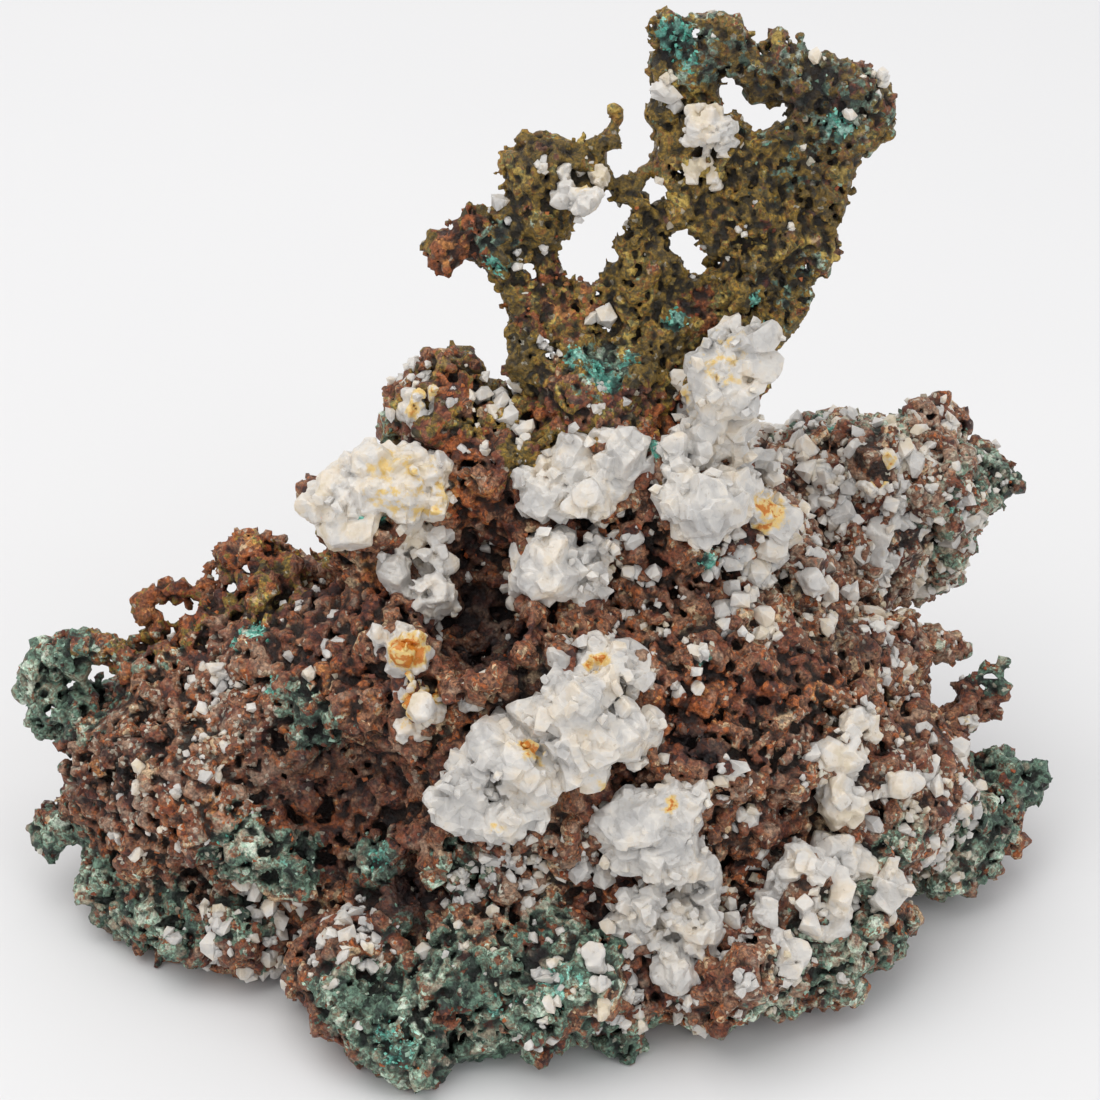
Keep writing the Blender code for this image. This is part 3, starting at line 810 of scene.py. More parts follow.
class TintMap:
    """How strongly each tint holds at a place, from the patches and the belts."""

    STAIN_REACH = 1.5
    EDGE = 1.35
    FADE = 0.9

    def __init__(self, solids: Solids) -> None:
        """Finds where each patch lies on the solids.

        Args:
            solids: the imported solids.
        """
        self.spots: dict[Tint, list[tuple[Array, Array, float]]] = {}
        for tint in Tint:
            found = []
            for patch in PATCHES.get(tint, ()):
                place = solids.seen(patch.across, patch.down)
                if place is None:
                    LOG.warning("no surface at %s, %s for %s", patch.across, patch.down, tint.value)
                    continue
                reach = patch.radius_mm * MM * (self.STAIN_REACH if tint is Tint.STAIN else 1.0)
                found.append((place, np.full(3, reach), patch.strength))
            for belt in BELTS.get(tint, ()):
                found.append((np.array(belt.centre_mm) * MM, np.array(belt.radii_mm) * MM, belt.strength))
            self.spots[tint] = found

    def at(self, tint: Tint, points: Array) -> Array:
        """One tint's strength at places.

        Args:
            tint: which tint.
            points: (n, 3) places in metres.

        Returns:
            Numbers from 0 to 1.
        """
        strength = np.zeros(len(points), np.float32)
        for centre, radii, most in self.spots[tint]:
            away = np.linalg.norm((points - centre) / radii, axis=1)
            np.maximum(strength, most * smooth_step((self.EDGE - away) / self.FADE), out=strength)
        return strength

    def store(self, obj: Obj, tints: Iterable[Tint], share: float = 1.0) -> None:
        """Stores tints' strengths on a mesh, for its material to read.

        Args:
            obj: the mesh object.
            tints: which tints.
            share: how much of their strength.
        """
        places = vertex_places(obj)
        for tint in tints:
            set_attribute(obj, tint.value, self.at(tint, places) * share)


# ------------------------------------------------------------------ finishes
def paint(red: int, green: int, blue: int) -> tuple[float, float, float, float]:
    """A screen colour (0 to 255 a channel) as a linear one."""
    linear = [((c / 255 + 0.055) / 1.055) ** 2.4 if c > 10 else c / 255 / 12.92 for c in (red, green, blue)]
    return (*linear, 1.0)


class NodeSheet:
    """Builds one material's nodes in plain steps."""

    def __init__(self, name: str) -> None:
        """Starts an empty material.

        Args:
            name: the material's name.
        """
        self.material = bpy.data.materials.new(name)
        self.material.use_nodes = True
        self.tree = self.material.node_tree
        self.shader = self.tree.nodes["Principled BSDF"]
        self.place = self.add("ShaderNodeNewGeometry").outputs["Position"]

    def add(self, kind: str) -> bpy.types.Node:
        """Adds a node of a kind."""
        return self.tree.nodes.new(kind)

    def plug(self, socket: Socket, value: object) -> None:
        """Links a socket to another, or sets its value."""
        if isinstance(value, Socket):
            self.tree.links.new(value, socket)
        else:
            socket.default_value = value

    def attribute(self, name: str) -> Socket:
        """A number stored on the mesh."""
        node = self.add("ShaderNodeAttribute")
        node.attribute_name = name
        return node.outputs["Fac"]

    def island(self) -> Socket:
        """A random number for each loose grain."""
        return self.add("ShaderNodeNewGeometry").outputs["Random Per Island"]

    def texture(self, kind: str, size_mm: float, place: Socket | None = None) -> bpy.types.Node:
        """Adds a texture node whose features are about a size.

        Args:
            kind: the node's type.
            size_mm: the size in millimetres.
            place: where it is read, or None for the point that is shaded.

        Returns:
            The node.
        """
        node = self.add(kind)
        self.plug(node.inputs["Vector"], self.place if place is None else place)
        self.plug(node.inputs["Scale"], 1000.0 / size_mm)
        return node

    def noise(self, size_mm: float, detail: float, rough: float) -> Socket:
        """Cloudy noise whose features are about a size.

        Args:
            size_mm: the largest feature in millimetres.
            detail: how many octaves.
            rough: how strong the fine octaves are.

        Returns:
            Its number output.
        """
        node = self.texture("ShaderNodeTexNoise", size_mm)
        self.plug(node.inputs["Detail"], detail)
        self.plug(node.inputs["Roughness"], rough)
        return node.outputs["Fac"]

    def cells(self, size_mm: float) -> Socket:
        """The distance from the middle of each cell, for cells of about a size."""
        return self.texture("ShaderNodeTexVoronoi", size_mm).outputs["Distance"]

    def grain(self, size_mm: float, fray_mm: float) -> tuple[Socket, ...]:
        """Three random numbers for each grain-sized cell, with frayed cell edges.

        Args:
            size_mm: a cell's size in millimetres.
            fray_mm: how far noise pushes the edges.

        Returns:
            The three numbers' sockets.
        """
        stir = self.texture("ShaderNodeTexNoise", size_mm)
        push = self.add("ShaderNodeVectorMath")
        push.operation = "MULTIPLY_ADD"
        for socket, value in zip(push.inputs, (stir.outputs["Color"], (fray_mm * 2 * MM,) * 3, self.place)):
            self.plug(socket, value)
        cell = self.texture("ShaderNodeTexVoronoi", size_mm, push.outputs[0])
        split = self.add("ShaderNodeSeparateColor")
        self.plug(split.inputs[0], cell.outputs["Color"])
        return tuple(split.outputs)

    def scaled(self, colour: object, amount: object) -> Socket:
        """A colour made lighter or darker by a number."""
        node = self.add("ShaderNodeVectorMath")
        node.operation = "SCALE"
        self.plug(node.inputs[0], colour)
        self.plug(node.inputs["Scale"], amount)
        return node.outputs[0]

    def calc(self, kind: str, first: object, second: object = 0.0, third: object = 0.0) -> Socket:
        """One step of arithmetic.

        Args:
            kind: the operation's name in Blender.
            first: the first value or socket.
            second: the second.
            third: the third, for operations that take three.

        Returns:
            The result, not clamped.
        """
        node = self.add("ShaderNodeMath")
        node.operation = kind
        for socket, value in zip(node.inputs, (first, second, third)):
            self.plug(socket, value)
        return node.outputs[0]

    def plus(self, first: object, second: object) -> Socket:
        """The sum of two numbers."""
        return self.calc("ADD", first, second)

    def times(self, first: object, second: object) -> Socket:
        """The product of two numbers."""
        return self.calc("MULTIPLY", first, second)

    def spread(
        self, value: object, low: float, high: float, to_low: float = 0.0, to_high: float = 1.0
    ) -> Socket:
        """Maps a range to another smoothly and clamps it.

        Args:
            value: the socket to map.
            low: where the range starts.
            high: where it ends.
            to_low: what the start becomes.
            to_high: what the end becomes.

        Returns:
            The mapped number.
        """
        node = self.add("ShaderNodeMapRange")
        node.interpolation_type = "SMOOTHSTEP"
        for socket, number in zip(node.inputs[:5], (value, low, high, to_low, to_high)):
            self.plug(socket, number)
        return node.outputs[0]

    def ramp(self, value: object, *stops: tuple[float, tuple]) -> Socket:
        """Colours along a number.

        Args:
            value: the number.
            *stops: (position, colour) pairs.

        Returns:
            The colour.
        """
        node = self.add("ShaderNodeValToRGB")
        points = node.color_ramp.elements
        points[0].position, points[0].color = stops[0]
        points[1].position, points[1].color = stops[-1]
        for position, colour in stops[1:-1]:
            points.new(position).color = colour
        self.plug(node.inputs[0], value)
        return node.outputs["Color"]

    def mix(self, amount: object, first: object, second: object) -> Socket:
        """Mixes two colours.

        Args:
            amount: how much of the second.
            first: the first colour.
            second: the second colour.

        Returns:
            The mixed colour.
        """
        node = self.add("ShaderNodeMix")
        node.data_type = "RGBA"
        for number, value in zip((0, 6, 7), (amount, first, second)):
            self.plug(node.inputs[number], value)
        return node.outputs[2]

    def dress(self, name: str, value: object) -> None:
        """Gives the shader one of its inputs."""
        self.plug(self.shader.inputs[name], value)

    def bump(self, height: object, depth_mm: float, strength: float) -> None:
        """Raises the surface in the shading.

        Args:
            height: the height field.
            depth_mm: how deep a change of one is.
            strength: how much of it shows.
        """
        node = self.add("ShaderNodeBump")
        self.plug(node.inputs["Strength"], strength)
        self.plug(node.inputs["Distance"], depth_mm * MM)
        self.plug(node.inputs["Height"], height)
        self.dress("Normal", node.outputs["Normal"])


@dataclass(frozen=True)
class CopperFinish:
    """Tarnished copper: each grain has its own shade, and tints change the set it is drawn from."""

    name: str = "tarnished_copper"
    grain_mm: float = 1.15
    brown: tuple = (
        (0.00, paint(52, 26, 22)), (0.16, paint(90, 46, 34)), (0.32, paint(128, 72, 46)),
        (0.46, paint(94, 64, 50)), (0.60, paint(150, 104, 74)), (0.72, paint(62, 36, 30)),
        (0.84, paint(164, 90, 44)), (0.93, paint(112, 88, 68)), (1.00, paint(186, 158, 124)),
    )
    rust: tuple = (
        (0.00, paint(68, 34, 20)), (0.30, paint(124, 62, 30)), (0.55, paint(162, 92, 46)),
        (0.75, paint(94, 50, 30)), (1.00, paint(188, 126, 70)),
    )
    olive: tuple = (
        (0.00, paint(52, 44, 22)), (0.18, paint(98, 78, 30)), (0.36, paint(134, 106, 38)),
        (0.52, paint(78, 70, 38)), (0.66, paint(160, 126, 48)), (0.78, paint(128, 84, 38)),
        (0.90, paint(96, 100, 62)), (1.00, paint(182, 154, 78)),
    )
    green: tuple = (
        (0.00, paint(40, 50, 44)), (0.18, paint(66, 86, 74)), (0.34, paint(98, 126, 108)),
        (0.50, paint(66, 66, 54)), (0.64, paint(128, 158, 138)), (0.76, paint(106, 88, 70)),
        (0.88, paint(156, 184, 162)), (1.00, paint(186, 196, 180)),
    )
    teal: tuple = (
        (0.00, paint(62, 122, 110)), (0.35, paint(104, 172, 156)), (0.60, paint(84, 124, 112)),
        (0.80, paint(140, 198, 182)), (1.00, paint(176, 216, 202)),
    )
    crust: tuple = paint(182, 176, 160)
    dust_and_crest_highlight: tuple = paint(162, 140, 120)
    shade: tuple = paint(26, 16, 19)
    crust_share: float = 0.75
    shade_share: float = 0.82
    cloud_mm: float = 5.0
    dust_mm: float = 4.5
    speckle_mm: float = 0.45
    grit_mm: tuple[float, float] = (0.28, 0.6)
    grit_depth_mm: float = 0.30

    def build(self) -> Material:
        """Makes the material."""
        sheet = NodeSheet(self.name)
        pick, share, _ = sheet.grain(self.grain_mm, 0.45)
        small, _, flake = sheet.grain(self.grain_mm * 0.42, 0.25)
        pick = sheet.calc("FRACT", sheet.plus(pick, sheet.island()))
        pick = sheet.plus(sheet.times(pick, 0.58), sheet.times(small, 0.26))
        pick = sheet.plus(pick, sheet.spread(sheet.noise(self.cloud_mm, 3, 0.55), 0.36, 0.64, -0.22, 0.40))
        ridge, pale = sheet.attribute("ridge"), sheet.attribute(Tint.PALE.value)
        colour = sheet.ramp(pick, *self.brown)
        for tint, edge_mm, shades in (
            (Tint.OLIVE, 3.0, self.olive), (Tint.RUST, 2.2, self.rust),
            (Tint.MALACHITE, 1.8, self.green), (Tint.TURQUOISE, 0.9, self.teal),
        ):
            taken = self._taken(sheet, tint, share, edge_mm)
            colour = sheet.mix(taken, colour, sheet.ramp(pick, *shades))
        crusty = sheet.spread(sheet.calc("MULTIPLY_ADD", pale, 0.20, flake), 0.97, 1.0)
        colour = sheet.mix(sheet.times(crusty, self.crust_share), colour, self.crust)
        olive = sheet.attribute(Tint.OLIVE.value)
        cloud = sheet.calc("MULTIPLY_ADD", pale, 0.09, sheet.noise(self.dust_mm, 4, 0.65))
        # Pale tan in cloudy patches on the crests only: partly dust, partly a painted highlight where light
        # catches the tops.
        dust_and_crest_highlight_share = sheet.times(sheet.spread(ridge, 0.10, 0.70, 0.0, 0.55), sheet.spread(cloud, 0.52, 0.66))
        dust_and_crest_highlight_share = sheet.times(dust_and_crest_highlight_share, sheet.spread(olive, 0.2, 0.8, 1.0, 0.1))
        colour = sheet.mix(dust_and_crest_highlight_share, colour, self.dust_and_crest_highlight)
        speckle = sheet.spread(sheet.noise(self.speckle_mm, 3, 0.7), 0.32, 0.68, 0.46, 1.30)
        # Painted shade and highlight: the ridge number darkens creases and pores and lightens crests, on
        # top of the random speckle and the olive tone.
        tone_with_painted_light = sheet.times(speckle, sheet.spread(ridge, -0.70, 0.80, 0.10, 1.40))
        tone_with_painted_light = sheet.times(tone_with_painted_light, sheet.spread(olive, 0.5, 1.0, 1.0, 0.80))
        colour = sheet.scaled(colour, tone_with_painted_light)
        # The dark tint mixes in near-black: darker copper, and painted shade over hollows and crevices.
        dark = sheet.times(sheet.attribute(Tint.DARK.value), self.shade_share)
        sheet.dress("Base Color", sheet.mix(dark, colour, self.shade))
        sheet.dress("Roughness", sheet.spread(small, 0.1, 0.9, 0.34, 0.74))
        sheet.dress("Specular IOR Level", 0.5)
        fine_mm, cell_mm = self.grit_mm
        grit = sheet.plus(sheet.noise(fine_mm, 3, 0.7), sheet.times(sheet.cells(cell_mm), 0.9))
        sheet.bump(grit, self.grit_depth_mm, 0.9)
        return sheet.material

    def _taken(self, sheet: NodeSheet, tint: Tint, grain: Socket, edge_mm: float) -> Socket:
        """Which grains take a tint: more of them where it is strong, in ragged patches.

        Args:
            sheet: the material being built.
            tint: the tint.
            grain: a random number for each grain.
            edge_mm: the size of the patches' ragged edges.

        Returns:
            How much of the tint shows.
        """
        cloud = sheet.spread(sheet.noise(edge_mm, 3, 0.6), 0.32, 0.68, -0.55, 0.45)
        total = sheet.plus(sheet.times(sheet.attribute(tint.value), 1.60), cloud)
        return sheet.spread(sheet.calc("SUBTRACT", total, sheet.times(grain, 0.8)), 0.36, 0.52)


@dataclass(frozen=True)
class CrystalFinish:
    """Milky white crystal with cream clouds and orange stains."""

    name: str = "milky_crystal"
    shades: tuple = (
        (0.00, paint(178, 176, 174)), (0.30, paint(199, 196, 192)), (0.55, paint(214, 209, 202)),
        (0.78, paint(217, 206, 190)), (1.00, paint(206, 193, 168)),
    )
    stain_low: tuple = paint(220, 190, 122)
    stain_high: tuple = paint(196, 120, 38)
    dirt: tuple = paint(140, 122, 98)
    roughness: float = 0.30
    milk: float = 0.45
    milk_colours: tuple = (1.0, 0.9, 0.8)
    milk_mm: float = 0.9
    facet_mm: float = 1.5
    cloud_mm: float = 5.0
    dirt_mm: float = 0.9
    stain_mm: float = 1.7
    grit_mm: tuple[float, float] = (0.5, 0.9)
    grit_depth_mm: float = 0.16

    def build(self) -> Material:
        """Makes the material."""
        sheet = NodeSheet(self.name)
        facet, _, _ = sheet.grain(self.facet_mm, 0.3)
        cloud = sheet.spread(sheet.noise(self.cloud_mm, 3, 0.6), 0.32, 0.68, 0.10, 0.68)
        pick = sheet.plus(cloud, sheet.times(facet, 0.25))
        pick = sheet.plus(pick, sheet.times(sheet.calc("SUBTRACT", sheet.island(), 0.5), 0.30))
        colour = sheet.ramp(pick, *self.shades)
        grime = sheet.spread(sheet.noise(self.dirt_mm, 4, 0.65), 0.60, 0.72, 0.0, 0.42)
        colour = sheet.mix(grime, colour, self.dirt)
        ragged = sheet.spread(sheet.noise(self.stain_mm, 4, 0.6), 0.3, 0.7, -0.5, 0.4)
        total = sheet.plus(sheet.attribute(Tint.STAIN.value), ragged)
        colour = sheet.mix(sheet.spread(total, 0.30, 0.75), colour, self.stain_low)
        sheet.dress("Base Color", sheet.mix(sheet.spread(total, 0.78, 0.98), colour, self.stain_high))
        sheet.dress("Roughness", self.roughness)
        sheet.dress("Subsurface Weight", self.milk)
        sheet.dress("Subsurface Radius", self.milk_colours)
        sheet.dress("Subsurface Scale", self.milk_mm * MM)
        sheet.dress("Specular IOR Level", 0.5)
        fine_mm, cell_mm = self.grit_mm
        sheet.bump(sheet.plus(sheet.noise(fine_mm, 3, 0.6), sheet.cells(cell_mm)), self.grit_depth_mm, 0.7)
        return sheet.material


@dataclass(frozen=True)
class GrainFinish:
    """Loose grains that each take their own shade between three colours."""

    name: str
    low: tuple
    mid: tuple
    high: tuple
    roughness: float = 0.55

    def build(self) -> Material:
        """Makes the material."""
        sheet = NodeSheet(self.name)
        shade = sheet.plus(sheet.times(sheet.island(), 0.75), sheet.times(sheet.noise(0.5, 3, 0.6), 0.3))
        colour = sheet.ramp(shade, (0.15, self.low), (0.55, self.mid), (0.95, self.high))
        sheet.dress("Base Color", colour)
        sheet.dress("Roughness", self.roughness)
        sheet.bump(sheet.noise(0.2, 2, 0.5), 0.1, 0.6)
        return sheet.material


# ------------------------------------------------------------------ copper
@dataclass(frozen=True)
class SkinPart:
    """One piece of a copper skin, cut from its grid by planes."""

    name: str
    triangles: int
    planes: tuple[tuple[tuple[float, float, float], tuple[float, float, float]], ...] = ()


@dataclass(frozen=True)
class Workpiece:
    """A solid while its surface is made: the distance grid, the plain mesh and the seeded generator."""

    grid: DistanceGrid
    points: Array
    faces: Array
    rng: Rng

    def spots(self, count: int) -> Pair:
        """Places on the plain solid, and its normals there."""
        return surface_samples(self.points, self.faces, count, self.rng)

    def raised_spots(self, count: int) -> Pair:
        """Places moved from the plain solid to the grid's surface, and the plain solid's normals."""
        spots, normals = self.spots(count)
        return spots - normals * self.grid.sample(self.grid.values, spots)[:, None], normals


@dataclass
class CopperSkin:
    """The spongy, grainy skin of one copper solid."""

    node: str
    seed: int
    parts: tuple[SkinPart, ...]
    voxel_mm: float = 0.38
    grow_mm: float = 0.25
    reach_mm: float = 2.4
    swell_mm: float = 0.60
    swell_cell_mm: float = 6.0
    fuzz_mm: float = 0.20
    fuzz_cell_mm: float = 0.8
    lumps: int = 4600
    lump_mm: tuple[float, float] = (0.42, 1.20)
    coarse_grains: int = 3200
    coarse_mm: tuple[float, float] = (0.45, 0.90)
    fine_grains: int = 12000
    fine_mm: tuple[float, float] = (0.32, 0.60)
    pits: int = 1900
    pit_mm: tuple[float, float] = (0.8, 2.1)
    pores: int = 4200
    pore_steps: int = 4
    pore_mm: tuple[float, float] = (0.30, 0.70)
    pore_squeeze: float = 1.0
    pore_lean: tuple[float, float, float] = (0.0, 0.0, 1.0)
    twigs: int = 500
    twig_steps: int = 6
    twig_mm: float = 0.50
    rim_across: tuple[float, float, float] | None = None
    holes: tuple[tuple[float, float, float], ...] = ()
    hole_depth_mm: float = 16.0
    wires: tuple[tuple[float, tuple[tuple[float, float], ...]], ...] = ()
    room_mm: float = 1.2
    skin: list[Pair] = field(default_factory=list)
    grid: DistanceGrid | None = None

    SPREAD_TINTS = (Tint.MALACHITE, Tint.TURQUOISE, Tint.OLIVE, Tint.RUST, Tint.DARK, Tint.PALE)

    # How far copper grows into the crystals' seats.
    CREEP_MM = 1.4
    SEAT_LIP_MM = 0.35
    SEAT_FADE_MM = 0.5
    BROKEN_COVER_MM = 0.45
    BROKEN_FADE_MM = 0.4
    BROKEN_FILL_MM = 2.8

    # The least and the most of what chance gives each grain, pit, pore, lump, wire and twig.
    GRAIN_RISE = (-0.5, 0.6)
    PIT_RISE = (-0.35, 0.45)
    PORE_RISE = (-0.2, 0.7)
    PORE_VARIES = (0.7, 1.15)
    LUMP_RISE = (-0.7, 0.4)
    LUMP_SIDES = (0.55, 1.5)
    THICKNESS = (0.75, 1.25)
    TWIG_VARIES = (0.8, 1.25)

    LUMP_CHAMFER = 0.35
    PORE_CHANCE, SPONGE_CHANCE = 0.45, 0.55
    PORE_SIZE, SPONGE_SIZE = 0.85, 0.45
    PORE_BEND = 0.5
    PORE_STEP = 1.1
    WIRE_STEP_MM = 0.3
    WIRE_STRAY_MM = 0.08
    RIM_LEAN = 0.45
    TWIG_LEAN = 0.55
    TWIG_BEND = 0.45
    TWIG_STEP = 0.95
    TWIG_ROOT_MM = 0.3
    TWIG_TAPER, TWIG_THINNEST = 0.13, 0.4
    FOOTHOLD_MM = 1.1

    def build(self, solids: Solids, tints: TintMap, finish: Material) -> list[Obj]:
        """Makes this skin's pieces.

        Args:
            solids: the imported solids.
            tints: where the tints lie.
            finish: the copper material.

        Returns:
            The pieces, which replace the node.
        """
        points, faces = solids.arrays[self.node]
        grid = DistanceGrid(points, faces, self.voxel_mm * MM)
        work = Workpiece(grid, points, faces, np.random.default_rng(self.seed))
        grid.values -= self.grow_mm * MM
        self._creep(grid, solids, tints)
        base = grid.values.copy()
        self._roughen(grid, self.swell_cell_mm, self.swell_mm, 3)
        self._cut_pits(work)
        self._add_lumps(work)
        self._add_grains(work, self.coarse_grains, self.coarse_mm)
        self._cut_pores(work, tints)
        self._pierce(grid, solids)
        self._draw_wires(work, solids)
        self._add_grains(work, self.fine_grains, self.fine_mm)
        self._add_twigs(work)
        self._roughen(grid, self.fuzz_cell_mm, self.fuzz_mm, 2)
        self._keep_in_room(grid, solids)
        soft = grid.blurred(4)
        self.grid = grid
        return [self._piece(part, base, soft, tints, finish) for part in self.parts]

    def _creep(self, grid: DistanceGrid, solids: Solids, tints: TintMap) -> None:
        """Lets copper grow into each crystal's seat: a little way, or nearly to the top where it is broken.

        Args:
            grid: the skin's grid.
            solids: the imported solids.
            tints: where crystals are broken.
        """
        cover = -self.BROKEN_COVER_MM * MM
        for name in solids.crystal_nodes():
            seat = DistanceGrid(*solids.arrays[name], self.voxel_mm * MM)
            low = np.maximum(seat.corner, grid.corner)
            high = np.minimum(seat.corner + seat.values.shape, grid.corner + grid.values.shape)
            if (high <= low).any():
                continue
            inside = seat.values[tuple(slice(a, b) for a, b in zip(low - seat.corner, high - seat.corner))]
            room = tuple(slice(a, b) for a, b in zip(low - grid.corner, high - grid.corner))
            share = smooth_step((self.SEAT_LIP_MM * MM - inside) / (self.SEAT_FADE_MM * MM))
            grid.values[room] -= (share * self.CREEP_MM * MM).astype(np.float32)
            deep = np.argwhere(inside < cover)
            share = smooth_step((cover - inside[tuple(deep.T)]) / (self.BROKEN_FADE_MM * MM))
            share = share * brokenness(name, (deep + low) * grid.voxel, tints)
            grid.values[tuple((deep + low - grid.corner).T)] -= share * self.BROKEN_FILL_MM * MM

    def _roughen(self, grid: DistanceGrid, cell_mm: float, depth_mm: float, octaves: int) -> None:
        """Makes the surface uneven with rough noise."""
        flat, places = grid.band(self.reach_mm * MM)
        rough = LatticeNoise(self.seed + octaves).rough(places, cell_mm * MM, octaves)
        grid.add(flat, rough * depth_mm * MM)

    def _add_lumps(self, work: Workpiece) -> None:
        """Grows angular lumps of copper out of the surface."""
        spots, normals = work.raised_spots(self.lumps)
        rng = work.rng
        for spot, normal in zip(spots, normals):
            half = rng.uniform(*self.lump_mm) * rng.uniform(*self.LUMP_SIDES, 3) * MM
            centre = spot + normal * half.mean() * rng.uniform(*self.LUMP_RISE)
            work.grid.block(centre, turned(rng), half, self.LUMP_CHAMFER)

    def _add_grains(self, work: Workpiece, count: int, size_mm: tuple[float, float]) -> None:
        """Adds round grains half sunk in the surface."""
        spots, normals = work.raised_spots(count)
        radii = work.rng.uniform(*size_mm, count) * MM
        lift = work.rng.uniform(*self.GRAIN_RISE, (count, 1)) * radii[:, None]
        work.grid.stamp(spots + normals * lift, radii, cut=False)

    def _cut_pits(self, work: Workpiece) -> None:
        """Hollows the surface with wide shallow pits, which leave ridges and knobs between them."""
        spots, normals = work.spots(self.pits)
        radii = work.rng.uniform(*self.pit_mm, self.pits) * MM
        lift = work.rng.uniform(*self.PIT_RISE, (self.pits, 1)) * radii[:, None]
        work.grid.stamp(spots + normals * lift, radii, cut=True)

    def _cut_pores(self, work: Workpiece, tints: TintMap) -> None:
        """Cuts crooked pores, larger and closer together where the copper is spongy.

        Args:
            work: the copper being shaped.
            tints: where it is spongy.
        """
        rng = work.rng
        spots, normals = work.spots(self.pores)
        sponge = tints.at(Tint.SPONGE, spots)
        keep = rng.random(self.pores) < self.PORE_CHANCE + self.SPONGE_CHANCE * sponge
        spots, normals, sponge = spots[keep], normals[keep], sponge[keep]
        radii = rng.uniform(*self.pore_mm, len(spots)) * MM * (self.PORE_SIZE + self.SPONGE_SIZE * sponge)
        length = rng.integers(1, self.pore_steps + 1, len(spots))
        heading = unit(rng.normal(size=normals.shape) - normals * 0.5)
        place = spots + normals * rng.uniform(*self.PORE_RISE, (len(spots), 1)) * radii[:, None]
        lean = unit(np.array(self.pore_lean, float))
        for step in range(self.pore_steps):
            alive = step < length
            size = radii[alive] * rng.uniform(*self.PORE_VARIES, alive.sum())
            work.grid.stamp(place[alive], size, cut=True, stretch=lean, squeeze=self.pore_squeeze)
            heading = unit(heading + rng.normal(0, self.PORE_BEND, heading.shape))
            along = (heading * normals).sum(axis=1, keepdims=True)
            place = place + (heading - normals * np.maximum(along, 0)) * radii[:, None] * self.PORE_STEP

    def _pierce(self, grid: DistanceGrid, solids: Solids) -> None:
        """Drives the larger holes through, each along its line of sight."""
        eye = np.array(solids.view.place())
        for across, down, radius_mm in self.holes:
            hit = solids.seen(across, down)
            if hit is None:
                continue
            steps = np.arange(-2.0, self.hole_depth_mm, 0.5 * radius_mm) * MM
            line = hit + unit(hit - eye) * steps[:, None]
            grid.stamp(line, np.full(len(steps), radius_mm * MM), cut=True)

    def _draw_wires(self, work: Workpiece, solids: Solids) -> None:
        """Adds thin free-standing wires of copper, each at the depth of what lies at its first point.

        Args:
            work: the copper being shaped.
            solids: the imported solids.
        """
        rng = work.rng
        eye, back = np.array(solids.view.place()), np.array(solids.view.back())
        for thick_mm, path in self.wires:
            foot = solids.seen(*path[0])
            if foot is None:
                continue
            lines = [np.array(solids.view.sight(*point)) for point in path]
            stops = [eye + line * ((foot - eye) @ back) / (line @ back) for line in lines]
            for first, last in zip(stops, stops[1:]):
                count = max(2, int(np.linalg.norm(last - first) / (self.WIRE_STEP_MM * MM)))
                share = np.linspace(0, 1, count)[:, None]
                stray = rng.normal(0, self.WIRE_STRAY_MM * MM, (count, 3))
                radii = thick_mm * MM * rng.uniform(*self.THICKNESS, count)
                work.grid.stamp(first + (last - first) * share + stray, radii, cut=False)

    def _add_twigs(self, work: Workpiece) -> None:
        """Grows short wandering twigs of copper out of the surface, or out of a sheet's rim only."""
        rng = work.rng
        spots, normals = work.spots(self.twigs)
        if self.rim_across:
            rim = np.abs(normals @ unit(np.array(self.rim_across, float))) < self.RIM_LEAN
            spots, normals = spots[rim], normals[rim]
        heading = unit(normals + rng.normal(0, self.TWIG_LEAN, normals.shape))
        thick = rng.uniform(*self.THICKNESS, len(spots)) * self.twig_mm * MM
        length = rng.integers(2, self.twig_steps + 1, len(spots))
        place = spots - normals * self.TWIG_ROOT_MM * MM
        centres, radii = [], []
        for step in range(self.twig_steps):
            alive = step < length
            centres.append(place[alive].copy())
            taper = max(1.0 - self.TWIG_TAPER * step, self.TWIG_THINNEST)
            radii.append((thick * taper * rng.uniform(*self.TWIG_VARIES, len(spots)))[alive])
            heading = unit(heading + rng.normal(0, self.TWIG_BEND, heading.shape))
            place = place + heading * thick[:, None] * self.TWIG_STEP
        work.grid.stamp(np.concatenate(centres), np.concatenate(radii), cut=False)

    def foothold(self, solids: Solids, count: int, rng: Rng) -> Pair:
        """Places on the finished skin that aren't deep in its pores.

        Args:
            solids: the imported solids.
            count: how many places are tried.
            rng: the seeded generator.

        Returns:
            The places and the normals of the plain solid there.
        """
        spots, normals = surface_samples(*solids.arrays[self.node], count, rng)
        values = self.grid.sample(self.grid.values, spots)
        keep = np.abs(values) < self.FOOTHOLD_MM * MM
        return spots[keep] - normals[keep] * values[keep, None], normals[keep]

    def _keep_in_room(self, grid: DistanceGrid, solids: Solids) -> None:
        """Keeps the skin above the floor and inside the object's own box."""
        grid.keep_above(0.0)
        room = self.room_mm * MM
        for axis in range(3):
            levels = (np.arange(grid.values.shape[axis]) + grid.corner[axis]) * grid.voxel
            outside = np.maximum(levels - solids.high[axis] - room, solids.low[axis] - room - levels)
            shape = [1, 1, 1]
            shape[axis] = -1
            np.maximum(grid.values, outside.astype(np.float32).reshape(shape), out=grid.values)

    def _piece(
        self, part: SkinPart, base: Array, soft: Array, tints: TintMap, finish: Material
    ) -> Obj:
        """Makes one piece's mesh, with the numbers its material reads.

        Args:
            part: which piece.
            base: the grid's values before it was made uneven.
            soft: its last values, blurred.
            tints: where the tints lie.
            finish: the copper material.

        Returns:
            The piece.
        """
        held = self.grid
        for point, direction in part.planes:
            held = held.keep_side(np.array(point) * MM, unit(np.array(direction, float)))
        corners, quads = held.to_mesh()
        obj = new_mesh_object(part.name, corners, quads, smooth=True)
        share = part.triangles / (2 * len(quads))
        if share < 1.0:
            thin_out(obj, share)
        places = vertex_places(obj)
